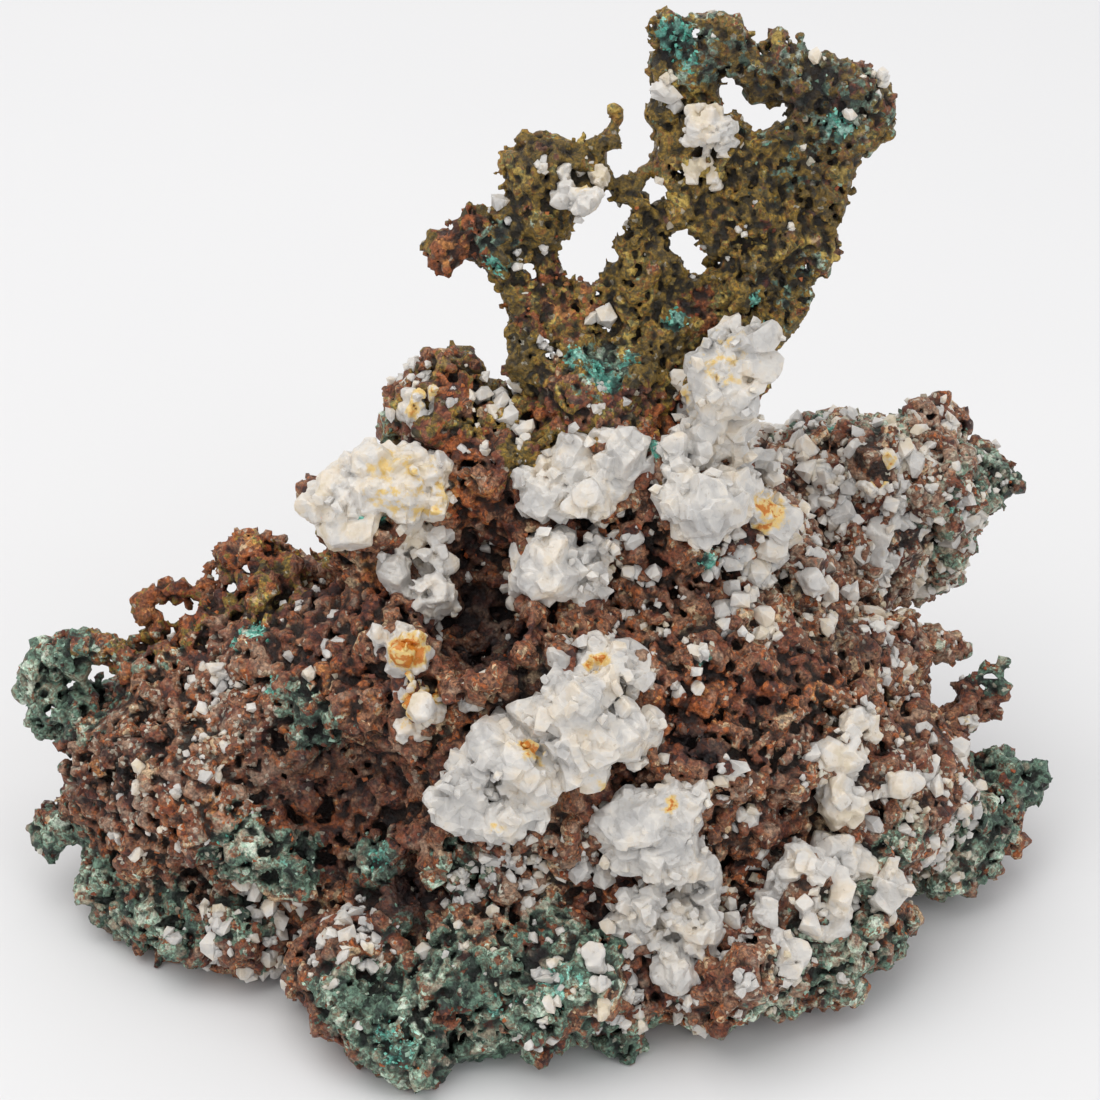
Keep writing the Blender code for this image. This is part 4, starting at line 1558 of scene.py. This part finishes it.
        # ridge: high on crests, low in creases and pores. The copper material paints shade into the low
        # parts and a highlight onto the crests with it.
        height = self.grid.sample(base, places) / MM
        crease = self.grid.sample(soft, places) / (0.25 * self.grid.voxel)
        ridge = np.clip(0.50 * height, -0.8, 0.5) + np.clip(0.55 * crease, -0.7, 0.7)
        set_attribute(obj, "ridge", ridge)
        tints.store(obj, self.SPREAD_TINTS)
        self.skin.append((places, triangles_of(obj)))
        obj.data.materials.append(finish)
        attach(obj, "root")
        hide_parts(self.node)
        return obj


def thin_out(obj: Obj, share: float) -> None:
    """Removes faces where the surface is plain.

    Args:
        obj: the mesh object.
        share: the share of its triangles that stays.
    """
    modifier = obj.modifiers.new("thin", "DECIMATE")
    modifier.ratio = share
    graph = bpy.context.evaluated_depsgraph_get()
    thinned = bpy.data.meshes.new_from_object(obj.evaluated_get(graph))
    obj.modifiers.remove(modifier)
    plain, obj.data = obj.data, thinned
    bpy.data.meshes.remove(plain)
    thinned.name = obj.name


class CopperTouch:
    """Tells how far a place is from the copper's finished surface."""

    def __init__(self, skins: list[CopperSkin]) -> None:
        """Holds the skins' vertices.

        Args:
            skins: the copper skins, already built.
        """
        places = np.concatenate([points for skin in skins for points, _ in skin.skin])
        self.tree = KDTree(len(places))
        for index, place in enumerate(places.tolist()):
            self.tree.insert(place, index)
        self.tree.balance()

    def gap(self, place: Array) -> float:
        """The distance from a place to the nearest vertex of the copper, in metres."""
        return self.tree.find(place)[2]


# ------------------------------------------------------------------ crystals
def turned(rng: Rng, base: Array | None = None, wobble: float = 0.0) -> Array:
    """A rotation: any, or one that is close to another.

    Args:
        rng: the seeded generator.
        base: the rotation to stay close to, as a 3x3 array.
        wobble: how far it strays, in radians.

    Returns:
        A 3x3 rotation.
    """
    if base is None:
        frame, _ = np.linalg.qr(rng.normal(size=(3, 3)))
        return frame * np.sign(np.linalg.det(frame))
    axis = Vector(rng.normal(size=3)).normalized()
    return np.array(Matrix.Rotation(rng.normal(0, wobble), 3, axis)) @ base


@dataclass(frozen=True)
class Habit:
    """How a cluster grows: its core's depth, and how thick blocks, fine blocks and shards stand on it."""

    shrink_mm: float
    blocks_per_cm2: float
    half_mm: tuple[float, float]
    fine_per_cm2: float
    shards_per_cm2: float


MASSIVE = Habit(1.9, 56.0, (0.7, 1.75), 34.0, 5.0)
BROKEN = Habit(3.2, 12.0, (0.6, 1.6), 14.0, 4.0)
CLUSTER_SEED = 300
DEEPER_MM = {
    "crystals_saddle": 2.2, "crystals_sheet_top": 1.2, "crystals_cream_slab": 0.7, "crystals_summit": 0.6,
    "crystals_knob": 0.4, "crystals_sheet_lobe": 0.4, "crystals_centre": 0.4, "crystals_run": 0.4,
}
LOOSE = {
    "crystals_arm_crest", "crystals_arm_end", "crystals_arm_side", "crystals_front", "crystals_right_low",
    "crystals_right_tall", "crystals_right_edge",
}


def habit_of(node: str) -> Habit:
    """How this cluster grows."""
    return BROKEN if node in LOOSE else MASSIVE


def brokenness(node: str, places: Array, tints: TintMap) -> Array:
    """How broken a cluster is at places: all of it in a loose one, else where the tint says so.

    Args:
        node: the crystal solid's name.
        places: (n, 3) places in metres.
        tints: where the tints lie.

    Returns:
        Numbers from 0 to 1.
    """
    if node in LOOSE:
        return np.ones(len(places), np.float32)
    return tints.at(Tint.BROKEN, places)


@dataclass
class CrystalCluster:
    """One mass of intergrown blocks over a crystal solid."""

    node: str
    seed: int
    voxel_mm: float = 0.26
    chamfer: float = 0.45
    families: int = 4
    core_triangles: int = 8600
    fine_mm: tuple[float, float] = (0.36, 0.80)
    least_points: int = 60
    wave_mm: float = 1.1
    wave_cell_mm: float = 4.2
    wear_mm: float = 0.25
    band: int = 10
    shard_mm: tuple[float, float] = (0.40, 0.95)

    # Shares of the solid's least width: how deep the core may lie, and what counts as full width.
    DEEPEST = 0.36
    FULL_WIDTH_MM = 11.0
    LEAST_FIT = 0.5
    # How blocks vary, lean and sink. Where a cluster is broken they sink less.
    SIDES, FINE_SIDES, SHARD_SIDES = (0.65, 1.35), (0.65, 1.4), (0.7, 1.35)
    WOBBLE, FINE_WOBBLE = 0.30, 0.45
    SINK, FINE_SINK, SHARD_SINK = (0.85, 1.25), (0.45, 1.1), 0.65
    LIFTED = 0.40
    CARVED = 1.3
    WHOLE = 0.1
    NEAR_MM = 0.3

    def build(self, solids: Solids, tints: TintMap, touch: CopperTouch, finish: Material) -> Obj:
        """Makes the cluster.

        Args:
            solids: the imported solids.
            tints: where the stains lie.
            touch: the copper that loose blocks must touch.
            finish: the crystal material.

        Returns:
            The piece, which replaces its node.
        """
        points, faces = solids.arrays[self.node]
        grid = DistanceGrid(points, faces, self.voxel_mm * MM, self.band)
        work = Workpiece(grid, points, faces, np.random.default_rng(self.seed))
        area_cm2 = mesh_area(points, faces) * CM2_PER_M2
        obj = self._core(work, area_cm2, tints, touch)
        self._cover(obj, area_cm2, work.rng)
        tints.store(obj, (Tint.STAIN,))
        obj.data.materials.append(finish)
        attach(obj, "root")
        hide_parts(self.node)
        return obj

    def _core(self, work: Workpiece, area_cm2: float, tints: TintMap, touch: CopperTouch) -> Obj:
        """The inner mass: the solid, slightly smaller, with blocks grown into one another.

        Args:
            work: the solid being shaped.
            area_cm2: its area.
            tints: where the cluster is broken.
            touch: the copper that loose blocks must touch.

        Returns:
            The mass as a mesh object.
        """
        habit = habit_of(self.node)
        grid, rng = work.grid, work.rng
        width = float(np.ptp(work.points, axis=0).min())
        grid.values += min(habit.shrink_mm * MM, width * self.DEEPEST)
        inner = np.argwhere(grid.values < 0)
        gone = brokenness(self.node, grid.places(inner), tints) if self.node not in LOOSE else 0.0
        grid.values[tuple(inner.T)] += gone * grid.limit * self.CARVED
        frames = [turned(rng) for _ in range(self.families)]
        fit = float(np.clip(width / (self.FULL_WIDTH_MM * MM), self.LEAST_FIT, 1.0))
        spots, normals = work.spots(int(area_cm2 * habit.blocks_per_cm2))
        broken = brokenness(self.node, spots, tints)
        sparse = np.where(broken > 0, BROKEN.blocks_per_cm2 / habit.blocks_per_cm2, 1.0)
        keep = rng.random(len(spots)) < 1 - broken * (1 - sparse)
        for spot, normal, loose in zip(spots[keep], normals[keep], broken[keep]):
            half = fit * rng.uniform(*habit.half_mm) * rng.uniform(*self.SIDES, 3) * MM
            frame = turned(rng, frames[rng.integers(self.families)], self.WOBBLE)
            sink = half.max() * (rng.uniform(*self.SINK) - self.LIFTED * loose)
            sink += DEEPER_MM.get(self.node, 0.0) * MM * (1 - loose)
            centre = spot - normal * sink
            if loose < self.WHOLE or touch.gap(centre) < half.max():
                grid.block(centre, frame, half, self.chamfer)
        flat, places = grid.band(self.wave_mm * 2 * MM)
        wave = LatticeNoise(self.seed).rough(places, self.wave_cell_mm * MM, 2) * self.wave_mm
        grid.add(flat, (wave + self.wear_mm) * MM)
        self._add_fine_blocks(work, int(area_cm2 * habit.fine_per_cm2), frames)
        grid.keep_above(0.0)
        shell, quads = grid.to_mesh(self.least_points)
        obj = new_mesh_object(self.node + "_mass", shell, quads, smooth=False)
        thin_out(obj, min(1.0, self.core_triangles / (2 * len(quads))))
        return obj

    def _add_fine_blocks(self, work: Workpiece, count: int, frames: list[Array]) -> None:
        """Grows small blocks out of the mass wherever it lies near the solid's surface.

        Args:
            work: the solid being shaped.
            count: how many blocks are tried.
            frames: the rotations that blocks stay close to.
        """
        grid, rng = work.grid, work.rng
        spots, normals = work.spots(count)
        for _ in range(3):
            spots = spots - normals * np.clip(grid.sample(grid.values, spots), -1 * MM, 1 * MM)[:, None]
        near = np.abs(grid.sample(grid.values, spots)) < self.NEAR_MM * MM
        for spot, normal in zip(spots[near], normals[near]):
            half = rng.uniform(*self.fine_mm) * rng.uniform(*self.FINE_SIDES, 3) * MM
            frame = turned(rng, frames[rng.integers(self.families)], self.FINE_WOBBLE)
            centre = spot - normal * half.mean() * rng.uniform(*self.FINE_SINK)
            grid.block(centre, frame, half, self.chamfer * 0.7)

    def _cover(self, obj: Obj, area_cm2: float, rng: Rng) -> None:
        """Sets crisp small blocks into the mass and joins them to it."""
        count = int(area_cm2 * habit_of(self.node).shards_per_cm2)
        spots, normals = surface_samples(vertex_places(obj), triangles_of(obj), count, rng)
        size = rng.uniform(*self.shard_mm, (count, 1)) * rng.uniform(*self.SHARD_SIDES, (count, 3)) * MM
        shards = Shards(rng, 10, 10, 0.85)
        sunk = spots - normals * size[:, 2:3] * self.SHARD_SINK
        join(obj, shards.scatter("cover", sunk, normals, size, rng, 0.8))


def join(target: Obj, extra: Obj) -> None:
    """Joins one mesh object into another, face for face.

    Args:
        target: the object that keeps its name.
        extra: the object that is used up.
    """
    points, faces = merged((vertex_places(obj), triangles_of(obj)) for obj in (target, extra))
    name, old, used = target.name, target.data, extra.data
    bpy.data.objects.remove(extra)
    target.name = name + "_old"
    whole = new_mesh_object(name, points, faces, smooth=False)
    target.data = whole.data
    bpy.data.objects.remove(whole)
    target.name = name
    bpy.data.meshes.remove(old)
    bpy.data.meshes.remove(used)


class Shards:
    """A set of small closed shapes to copy, each the hull of a few points."""

    STRAY = 0.22
    BOX_SHARE = 0.8
    REACH = (0.75, 1.15)
    PUSH = (-1.0, 0.7)
    FLOOR_GAP_MM = 0.02

    def __init__(self, rng: Rng, kinds: int, corners: int, blocky: float, ragged: float = 0.0) -> None:
        """Makes the shapes.

        Args:
            rng: the seeded generator.
            kinds: how many shapes.
            corners: how many points each is the hull of.
            blocky: 0 for round shapes, 1 for boxy ones.
            ragged: how far the corners are pushed in and out afterwards.
        """
        self.ragged = ragged
        self.shapes = [self._shape(rng, corners, blocky) for _ in range(kinds)]

    def _shape(self, rng: Rng, corners: int, blocky: float) -> Pair:
        """One shape's points and triangles."""
        cage = bmesh.new()
        for number in range(corners):
            lift = 1 - 2 * (number + 0.5) / corners
            angle = number * math.pi * (3 - math.sqrt(5))
            ring = math.sqrt(1 - lift * lift)
            ball = np.array((ring * math.cos(angle), ring * math.sin(angle), lift))
            ball = unit(ball + rng.normal(0, self.STRAY, 3))
            box = ball / np.abs(ball).max()
            cage.verts.new(((1 - blocky) * ball + blocky * box * self.BOX_SHARE) * rng.uniform(*self.REACH))
        hull = bmesh.ops.convex_hull(cage, input=cage.verts)
        spare = hull["geom_interior"] + hull["geom_unused"]
        loose = dict.fromkeys(v for v in spare if isinstance(v, bmesh.types.BMVert))
        bmesh.ops.delete(cage, geom=list(loose), context="VERTS")
        for corner in cage.verts:
            corner.co *= 1.0 + self.ragged * rng.uniform(*self.PUSH)
        bmesh.ops.triangulate(cage, faces=cage.faces)
        bmesh.ops.recalc_face_normals(cage, faces=cage.faces)
        cage.verts.index_update()
        points = np.array([v.co for v in cage.verts], np.float32)
        faces = np.array([[v.index for v in f.verts] for f in cage.faces], np.int64)
        cage.free()
        return points, faces

    def scatter(
        self, name: str, spots: Array, normals: Array, sizes: Array, rng: Rng, tilt: float
    ) -> Obj:
        """Copies the shapes to places as one mesh.

        Args:
            name: the piece's name.
            spots: where each copy sits.
            normals: the direction in which its long side points.
            sizes: three half sizes a copy.
            rng: the seeded generator.
            tilt: how far the copies stray from the normals.

        Returns:
            The joined mesh object.
        """
        up = unit(normals + rng.normal(0, tilt, normals.shape))
        side = unit(np.cross(up, rng.normal(size=up.shape)))
        front = np.cross(up, side)
        kind = rng.integers(len(self.shapes), size=len(spots))
        groups = []
        for number, (corners, faces) in enumerate(self.shapes):
            mine = np.flatnonzero(kind == number)
            if not len(mine):
                continue
            scaled = corners[None] * sizes[mine][:, None, :]
            moved = (
                scaled[..., 0:1] * side[mine][:, None] + scaled[..., 1:2] * front[mine][:, None]
                + scaled[..., 2:3] * up[mine][:, None] + spots[mine][:, None]
            )
            step = np.arange(len(mine))[:, None, None] * len(corners)
            groups.append((moved.reshape(-1, 3), (faces[None] + step).reshape(-1, 3)))
        points, faces = merged(groups)
        points[:, 2] = np.maximum(points[:, 2], self.FLOOR_GAP_MM * MM)
        return new_mesh_object(name, points, faces, smooth=False)


@dataclass
class LooseCrystals:
    """The many small white crystals that sit on the copper."""

    name: str = "small_crystals"
    seed: int = 41
    tried: int = 38000
    pieces: int = 2
    middle_mm: float = 0.72
    size_mm: tuple[float, float] = (0.34, 1.6)
    everywhere: float = 0.016
    paired: float = 0.8

    # CLEAR: how much fewer stand where the dark tint lies, on darker copper and on the painted shade over
    # hollows. The rest is how they clump, vary, pair and sit.
    CLEAR = 0.8
    CLUMP_MM = 3.0
    THICKEST, CLUMP_LEAST, CLUMP_MORE = 0.55, 0.12, 3.2
    FLOOR_MM = 1.0
    VARIES = 0.45
    THIN_SIZE, THICK_SIZE = 0.72, 0.36
    SIDES = (0.65, 1.3)
    RISE = 0.15
    MATE_STRAY, MATE_SIZE = 0.75, (0.45, 0.85)
    TOUCHING = 0.9
    STAINED = 0.6

    def build(
        self, skins: list[CopperSkin], tints: TintMap, solids: Solids, touch: CopperTouch, finish: Material
    ) -> list[Obj]:
        """Scatters the crystals over the copper skins.

        Args:
            skins: the copper skins.
            tints: where crystals grow, and the stains.
            solids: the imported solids.
            touch: the copper that every crystal must touch.
            finish: the crystal material.

        Returns:
            The pieces.
        """
        rng = np.random.default_rng(self.seed)
        areas = np.array([mesh_area(*solids.arrays[skin.node]) for skin in skins])
        shares = (areas / areas.sum() * self.tried).astype(int)
        found = [skin.foothold(solids, share, rng) for skin, share in zip(skins, shares)]
        spots, normals = (np.concatenate(parts) for parts in zip(*found))
        chance = np.maximum(tints.at(Tint.CRYSTALS, spots), self.everywhere)
        chance *= 1 - self.CLEAR * tints.at(Tint.DARK, spots)
        clump = LatticeNoise(self.seed + 1).at(spots, self.CLUMP_MM * MM) * 0.5 + 0.5
        dense = self.CLUMP_LEAST + self.CLUMP_MORE * clump**2
        keep = rng.random(len(spots)) < self.THICKEST * chance**1.3 * dense
        keep &= spots[:, 2] > self.FLOOR_MM * MM
        spots, normals = spots[keep], normals[keep]
        size = np.clip(np.exp(rng.normal(0, self.VARIES, len(spots))) * self.middle_mm, *self.size_mm)
        size *= self.THIN_SIZE + self.THICK_SIZE * chance[keep]
        size = size[:, None] * rng.uniform(*self.SIDES, (len(spots), 3)) * MM
        spots = spots + normals * size[:, 2:3] * self.RISE
        mates = rng.random(len(spots)) < self.paired
        shift = rng.normal(0, self.MATE_STRAY, (mates.sum(), 3)) * size[mates]
        spots = np.concatenate([spots, spots[mates] + shift])
        normals = np.concatenate([normals, normals[mates]])
        size = np.concatenate([size, size[mates] * rng.uniform(*self.MATE_SIZE, (mates.sum(), 1))])
        held = np.array([touch.gap(spot) for spot in spots]) < size.mean(axis=1) * self.TOUCHING
        spots, normals, size = spots[held], normals[held], size[held]
        shards = Shards(rng, 24, 14, 0.45, ragged=0.14)
        made = []
        for number in range(self.pieces):
            mine = np.arange(len(spots)) % self.pieces == number
            name = f"{self.name}_{number + 1}"
            obj = shards.scatter(name, spots[mine], normals[mine], size[mine], rng, 0.7)
            tints.store(obj, (Tint.STAIN,), self.STAINED)
            obj.data.materials.append(finish)
            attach(obj, "root")
            made.append(obj)
        return made


def gather(skins: list[CopperSkin], count: int, rng: Rng) -> Pair:
    """Picks places over several skins, spread by area.

    Args:
        skins: the copper skins.
        count: how many places in all.
        rng: the seeded generator.

    Returns:
        The places and the normals there.
    """
    return surface_samples(*merged(shell for skin in skins for shell in skin.skin), count, rng)


@dataclass
class SurfaceGrains:
    """Fine grains of one kind, thick where their tint is strong."""

    name: str
    tint: Tint
    seed: int
    tried: int
    size_mm: tuple[float, float]
    finish: GrainFinish | None = None
    slot: str = "copper_body"
    floor_chance: float = 0.0
    most: int = 19000

    CLUMP_MM = 2.0
    CLUMP_LEAST, CLUMP_MORE = 0.3, 1.2
    FLOOR_MM = 0.4
    SIDES = (0.7, 1.3)
    RISE = 0.3
    GRAIN_RIDGE = 0.35

    def build(self, skins: list[CopperSkin], tints: TintMap, copper: Material) -> Obj:
        """Scatters the grains.

        Args:
            skins: the copper skins.
            tints: where the tints lie.
            copper: the finish of grains that have none of their own.

        Returns:
            The piece.
        """
        rng = np.random.default_rng(self.seed)
        spots, normals = gather(skins, self.tried, rng)
        chance = np.maximum(tints.at(self.tint, spots) ** 1.5, self.floor_chance)
        clump = LatticeNoise(self.seed + 1).at(spots, self.CLUMP_MM * MM) * 0.5 + 0.5
        keep = rng.random(len(spots)) < chance * (self.CLUMP_LEAST + self.CLUMP_MORE * clump)
        keep &= spots[:, 2] > self.FLOOR_MM * MM
        spots, normals = spots[keep][: self.most], normals[keep][: self.most]
        size = rng.uniform(*self.size_mm, (len(spots), 1)) * rng.uniform(*self.SIDES, (len(spots), 3)) * MM
        shards = Shards(rng, 10, 7, 0.35)
        raised = spots + normals * size[:, 2:3] * self.RISE
        obj = shards.scatter(self.name, raised, normals, size, rng, 0.9)
        if self.finish:
            obj.data.materials.append(self.finish.build())
        else:
            self._take_tints(obj, tints)
            obj.data.materials.append(copper)
        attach(obj, "root")
        return obj

    def _take_tints(self, obj: Obj, tints: TintMap) -> None:
        """Stores what the copper material reads, as on the skin below."""
        # A fixed ridge number, so the copper material lightens these grains like raised crests: painted
        # highlight.
        set_attribute(obj, "ridge", np.full(len(obj.data.vertices), self.GRAIN_RIDGE))
        tints.store(obj, CopperSkin.SPREAD_TINTS)


# ------------------------------------------------------------------ studio
@dataclass
class Studio:
    """A plain pale floor, soft light from above and the camera."""

    floor_side: float = 6.0
    floor_colour: tuple = paint(226, 226, 227)
    sky_colour: tuple = (0.995, 0.995, 1.0, 1.0)
    sky_strength: float = 0.78
    key_power: float = 3.6
    fill_power: float = 1.1
    aim: tuple[float, float, float] = (0.0, 0.0, 0.04)

    def build(self, view: Viewpoint) -> None:
        """Makes the floor, the lights and the camera.

        Args:
            view: where the camera stands.
        """
        view.camera()
        self._floor()
        self._sky()
        self._lamp("key", (-0.20, -0.06, 0.78), 0.80, self.key_power, (1.0, 0.985, 0.96))
        self._lamp("fill", (0.55, -0.55, 0.55), 0.60, self.fill_power, (0.94, 0.97, 1.0))
        bpy.context.scene.view_settings.view_transform = "Standard"

    def _floor(self) -> None:
        """Lays the floor."""
        half = self.floor_side / 2
        corners = np.array([(-half, -half, 0), (half, -half, 0), (half, half, 0), (-half, half, 0)])
        floor = new_mesh_object("floor", corners, np.array([[0, 1, 2, 3]]), smooth=False)
        sheet = NodeSheet("floor_paint")
        cloud = sheet.spread(sheet.noise(60.0, 2, 0.5), 0.3, 0.7, 0.0, 0.06)
        sheet.dress("Base Color", sheet.mix(cloud, self.floor_colour, paint(212, 214, 218)))
        sheet.dress("Roughness", 0.9)
        floor.data.materials.append(sheet.material)
        floor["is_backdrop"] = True

    def _sky(self) -> None:
        """Sets the even light from all round."""
        world = bpy.data.worlds.new("studio")
        bpy.context.scene.world = world
        world.use_nodes = True
        background = world.node_tree.nodes["Background"]
        background.inputs["Color"].default_value = self.sky_colour
        background.inputs["Strength"].default_value = self.sky_strength

    def _lamp(self, name: str, place: tuple, side: float, power: float, colour: tuple) -> None:
        """Hangs one square soft lamp that points at the object."""
        data = bpy.data.lights.new(name, "AREA")
        data.shape, data.size, data.energy, data.color = "SQUARE", side, power, colour
        lamp = bpy.data.objects.new(name, data)
        bpy.context.scene.collection.objects.link(lamp)
        lamp.location = place
        lamp.rotation_euler = (Vector(self.aim) - Vector(place)).to_track_quat("-Z", "Y").to_euler()


# ------------------------------------------------------------------ the whole nugget
BODY_PARTS = (
    SkinPart("copper_skin_left", 136_000, (((-2, 10, 20), (0, -1, 0.15)), ((-2.2, 0, 0), (-1, 0, 0)))),
    SkinPart("copper_skin_right", 136_000, (((-2, 10, 20), (0, -1, 0.15)), ((-2.8, 0, 0), (1, 0, 0)))),
    SkinPart("copper_skin_back", 62_000, (((-2, 9.4, 20), (0, 1, -0.15)),)),
)

# Through-holes and free wires, as (across, down, radius in mm) and (radius in mm, points on the way).
LACE = (
    (177, 612, 1.6), (190, 606, 1.2), (166, 611, 1.0), (250, 565, 1.1), (231, 587, 0.8), (51, 711, 0.9),
    (44, 694, 0.6), (62, 697, 0.5), (150, 660, 0.6), (985, 655, 0.6), (1000, 800, 0.7), (955, 665, 0.7),
)
WIRES = (
    (0.55, ((214, 600), (204, 597), (184, 591), (167, 600), (146, 592), (134, 600), (146, 609), (158, 614),
            (160, 626), (152, 634))),
    (0.60, ((218, 600), (224, 580), (233, 560), (231, 543), (245, 541), (262, 541), (284, 538))),
    (0.50, ((233, 560), (242, 575), (246, 590))),
    (0.45, ((530, 455), (545, 440), (556, 425))),
)
SHEET_LACE = (
    (730, 84, 0.9), (729, 95, 1.0), (727, 104, 0.7), (657, 190, 1.0), (679, 175, 0.7), (693, 250, 0.8),
    (697, 262, 1.0), (699, 272, 0.8), (674, 235, 0.6), (606, 318, 0.6), (606, 328, 0.6), (528, 266, 0.8),
    (532, 274, 0.7), (804, 266, 0.5), (833, 216, 0.5), (598, 293, 0.4), (545, 345, 0.9), (550, 355, 0.7),
    (763, 50, 0.8), (765, 40, 0.9), (790, 42, 0.7), (697, 34, 0.8), (618, 210, 0.9), (621, 232, 0.9),
    (613, 256, 0.9), (600, 200, 0.9), (590, 262, 0.8), (607, 222, 1.0),
)
SHEET_WIRES = (
    (0.75, ((575, 158), (592, 146), (605, 139), (612, 130), (616, 118), (615, 110))),
    (0.50, ((612, 184), (624, 183), (636, 185), (645, 172), (655, 163), (662, 155), (660, 144))),
    (0.60, ((775, 70), (774, 58), (776, 46), (779, 38))),
    (0.50, ((800, 60), (801, 50), (800, 38))),
)


def copper_skins() -> list[CopperSkin]:
    """The three copper solids' skins."""
    return [
        CopperSkin("copper_body", 101, BODY_PARTS, twigs=1500, holes=LACE, wires=WIRES),
        CopperSkin(
            "copper_sheet", 102, (SkinPart("sheet_skin", 92_000),), voxel_mm=0.30, reach_mm=2.0,
            swell_mm=0.50, swell_cell_mm=4.0, fuzz_mm=0.26, lumps=500, lump_mm=(0.3, 0.6),
            coarse_grains=250, coarse_mm=(0.35, 0.6), fine_grains=4500, fine_mm=(0.20, 0.38), pits=0,
            pores=1500, pore_steps=2, pore_mm=(0.18, 0.36), pore_squeeze=2.0, pore_lean=(0.0, 0.27, 0.96),
            twigs=1300, twig_mm=0.42, rim_across=(0.0, 0.96, -0.27), holes=SHEET_LACE, hole_depth_mm=6.0,
            wires=SHEET_WIRES,
        ),
        CopperSkin(
            "copper_arm", 103, (SkinPart("arm_skin", 55_000),), voxel_mm=0.36, reach_mm=2.2, lumps=1000,
            coarse_grains=600, fine_grains=3200, pits=240, pores=800, twigs=420,
        ),
    ]


def surface_grains() -> list[SurfaceGrains]:
    """The kinds of fine grain on the copper."""
    malachite = GrainFinish("malachite_grain", paint(46, 62, 54), paint(98, 130, 112), paint(172, 200, 182))
    teal = GrainFinish("turquoise_grain", paint(44, 106, 94), paint(90, 176, 156), paint(166, 222, 204))
    crust = GrainFinish("crust_grain", paint(118, 100, 84), paint(172, 164, 146), paint(206, 204, 190))
    rust = GrainFinish("rust_grain", paint(84, 36, 20), paint(150, 72, 34), paint(192, 116, 60))
    return [
        SurfaceGrains("copper_grains_1", Tint.PALE, 205, 8000, (0.28, 0.62), floor_chance=1.0),
        SurfaceGrains("copper_grains_2", Tint.PALE, 206, 7000, (0.22, 0.48), floor_chance=1.0),
        SurfaceGrains("malachite_grains", Tint.MALACHITE, 201, 16000, (0.20, 0.45), malachite),
        SurfaceGrains("turquoise_grains", Tint.TURQUOISE, 202, 220000, (0.18, 0.36), teal),
        SurfaceGrains("crust_grains", Tint.PALE, 203, 16000, (0.25, 0.60), crust, floor_chance=0.03),
        SurfaceGrains("rust_grains", Tint.RUST, 204, 12000, (0.22, 0.50), rust, floor_chance=0.10),
    ]


def report(obj: Obj) -> None:
    """Logs a finished piece."""
    LOG.info("%s: %d faces", obj.name, len(obj.data.polygons))


def main() -> None:
    """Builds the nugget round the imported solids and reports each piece."""
    logging.basicConfig(level=logging.INFO, format="%(name)s: %(message)s")
    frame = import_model()
    solids = Solids(frame)
    tints = TintMap(solids)
    Studio().build(solids.view)
    copper = CopperFinish().build()
    crystal = CrystalFinish().build()
    skins = copper_skins()
    for skin in skins:
        for obj in skin.build(solids, tints, copper):
            report(obj)
    touch = CopperTouch(skins)
    for number, node in enumerate(solids.crystal_nodes()):
        report(CrystalCluster(node, CLUSTER_SEED + number).build(solids, tints, touch, crystal))
    for obj in LooseCrystals().build(skins, tints, solids, touch, crystal):
        report(obj)
    for kind in surface_grains():
        report(kind.build(skins, tints, copper))


if __name__ == "__main__":
    main()
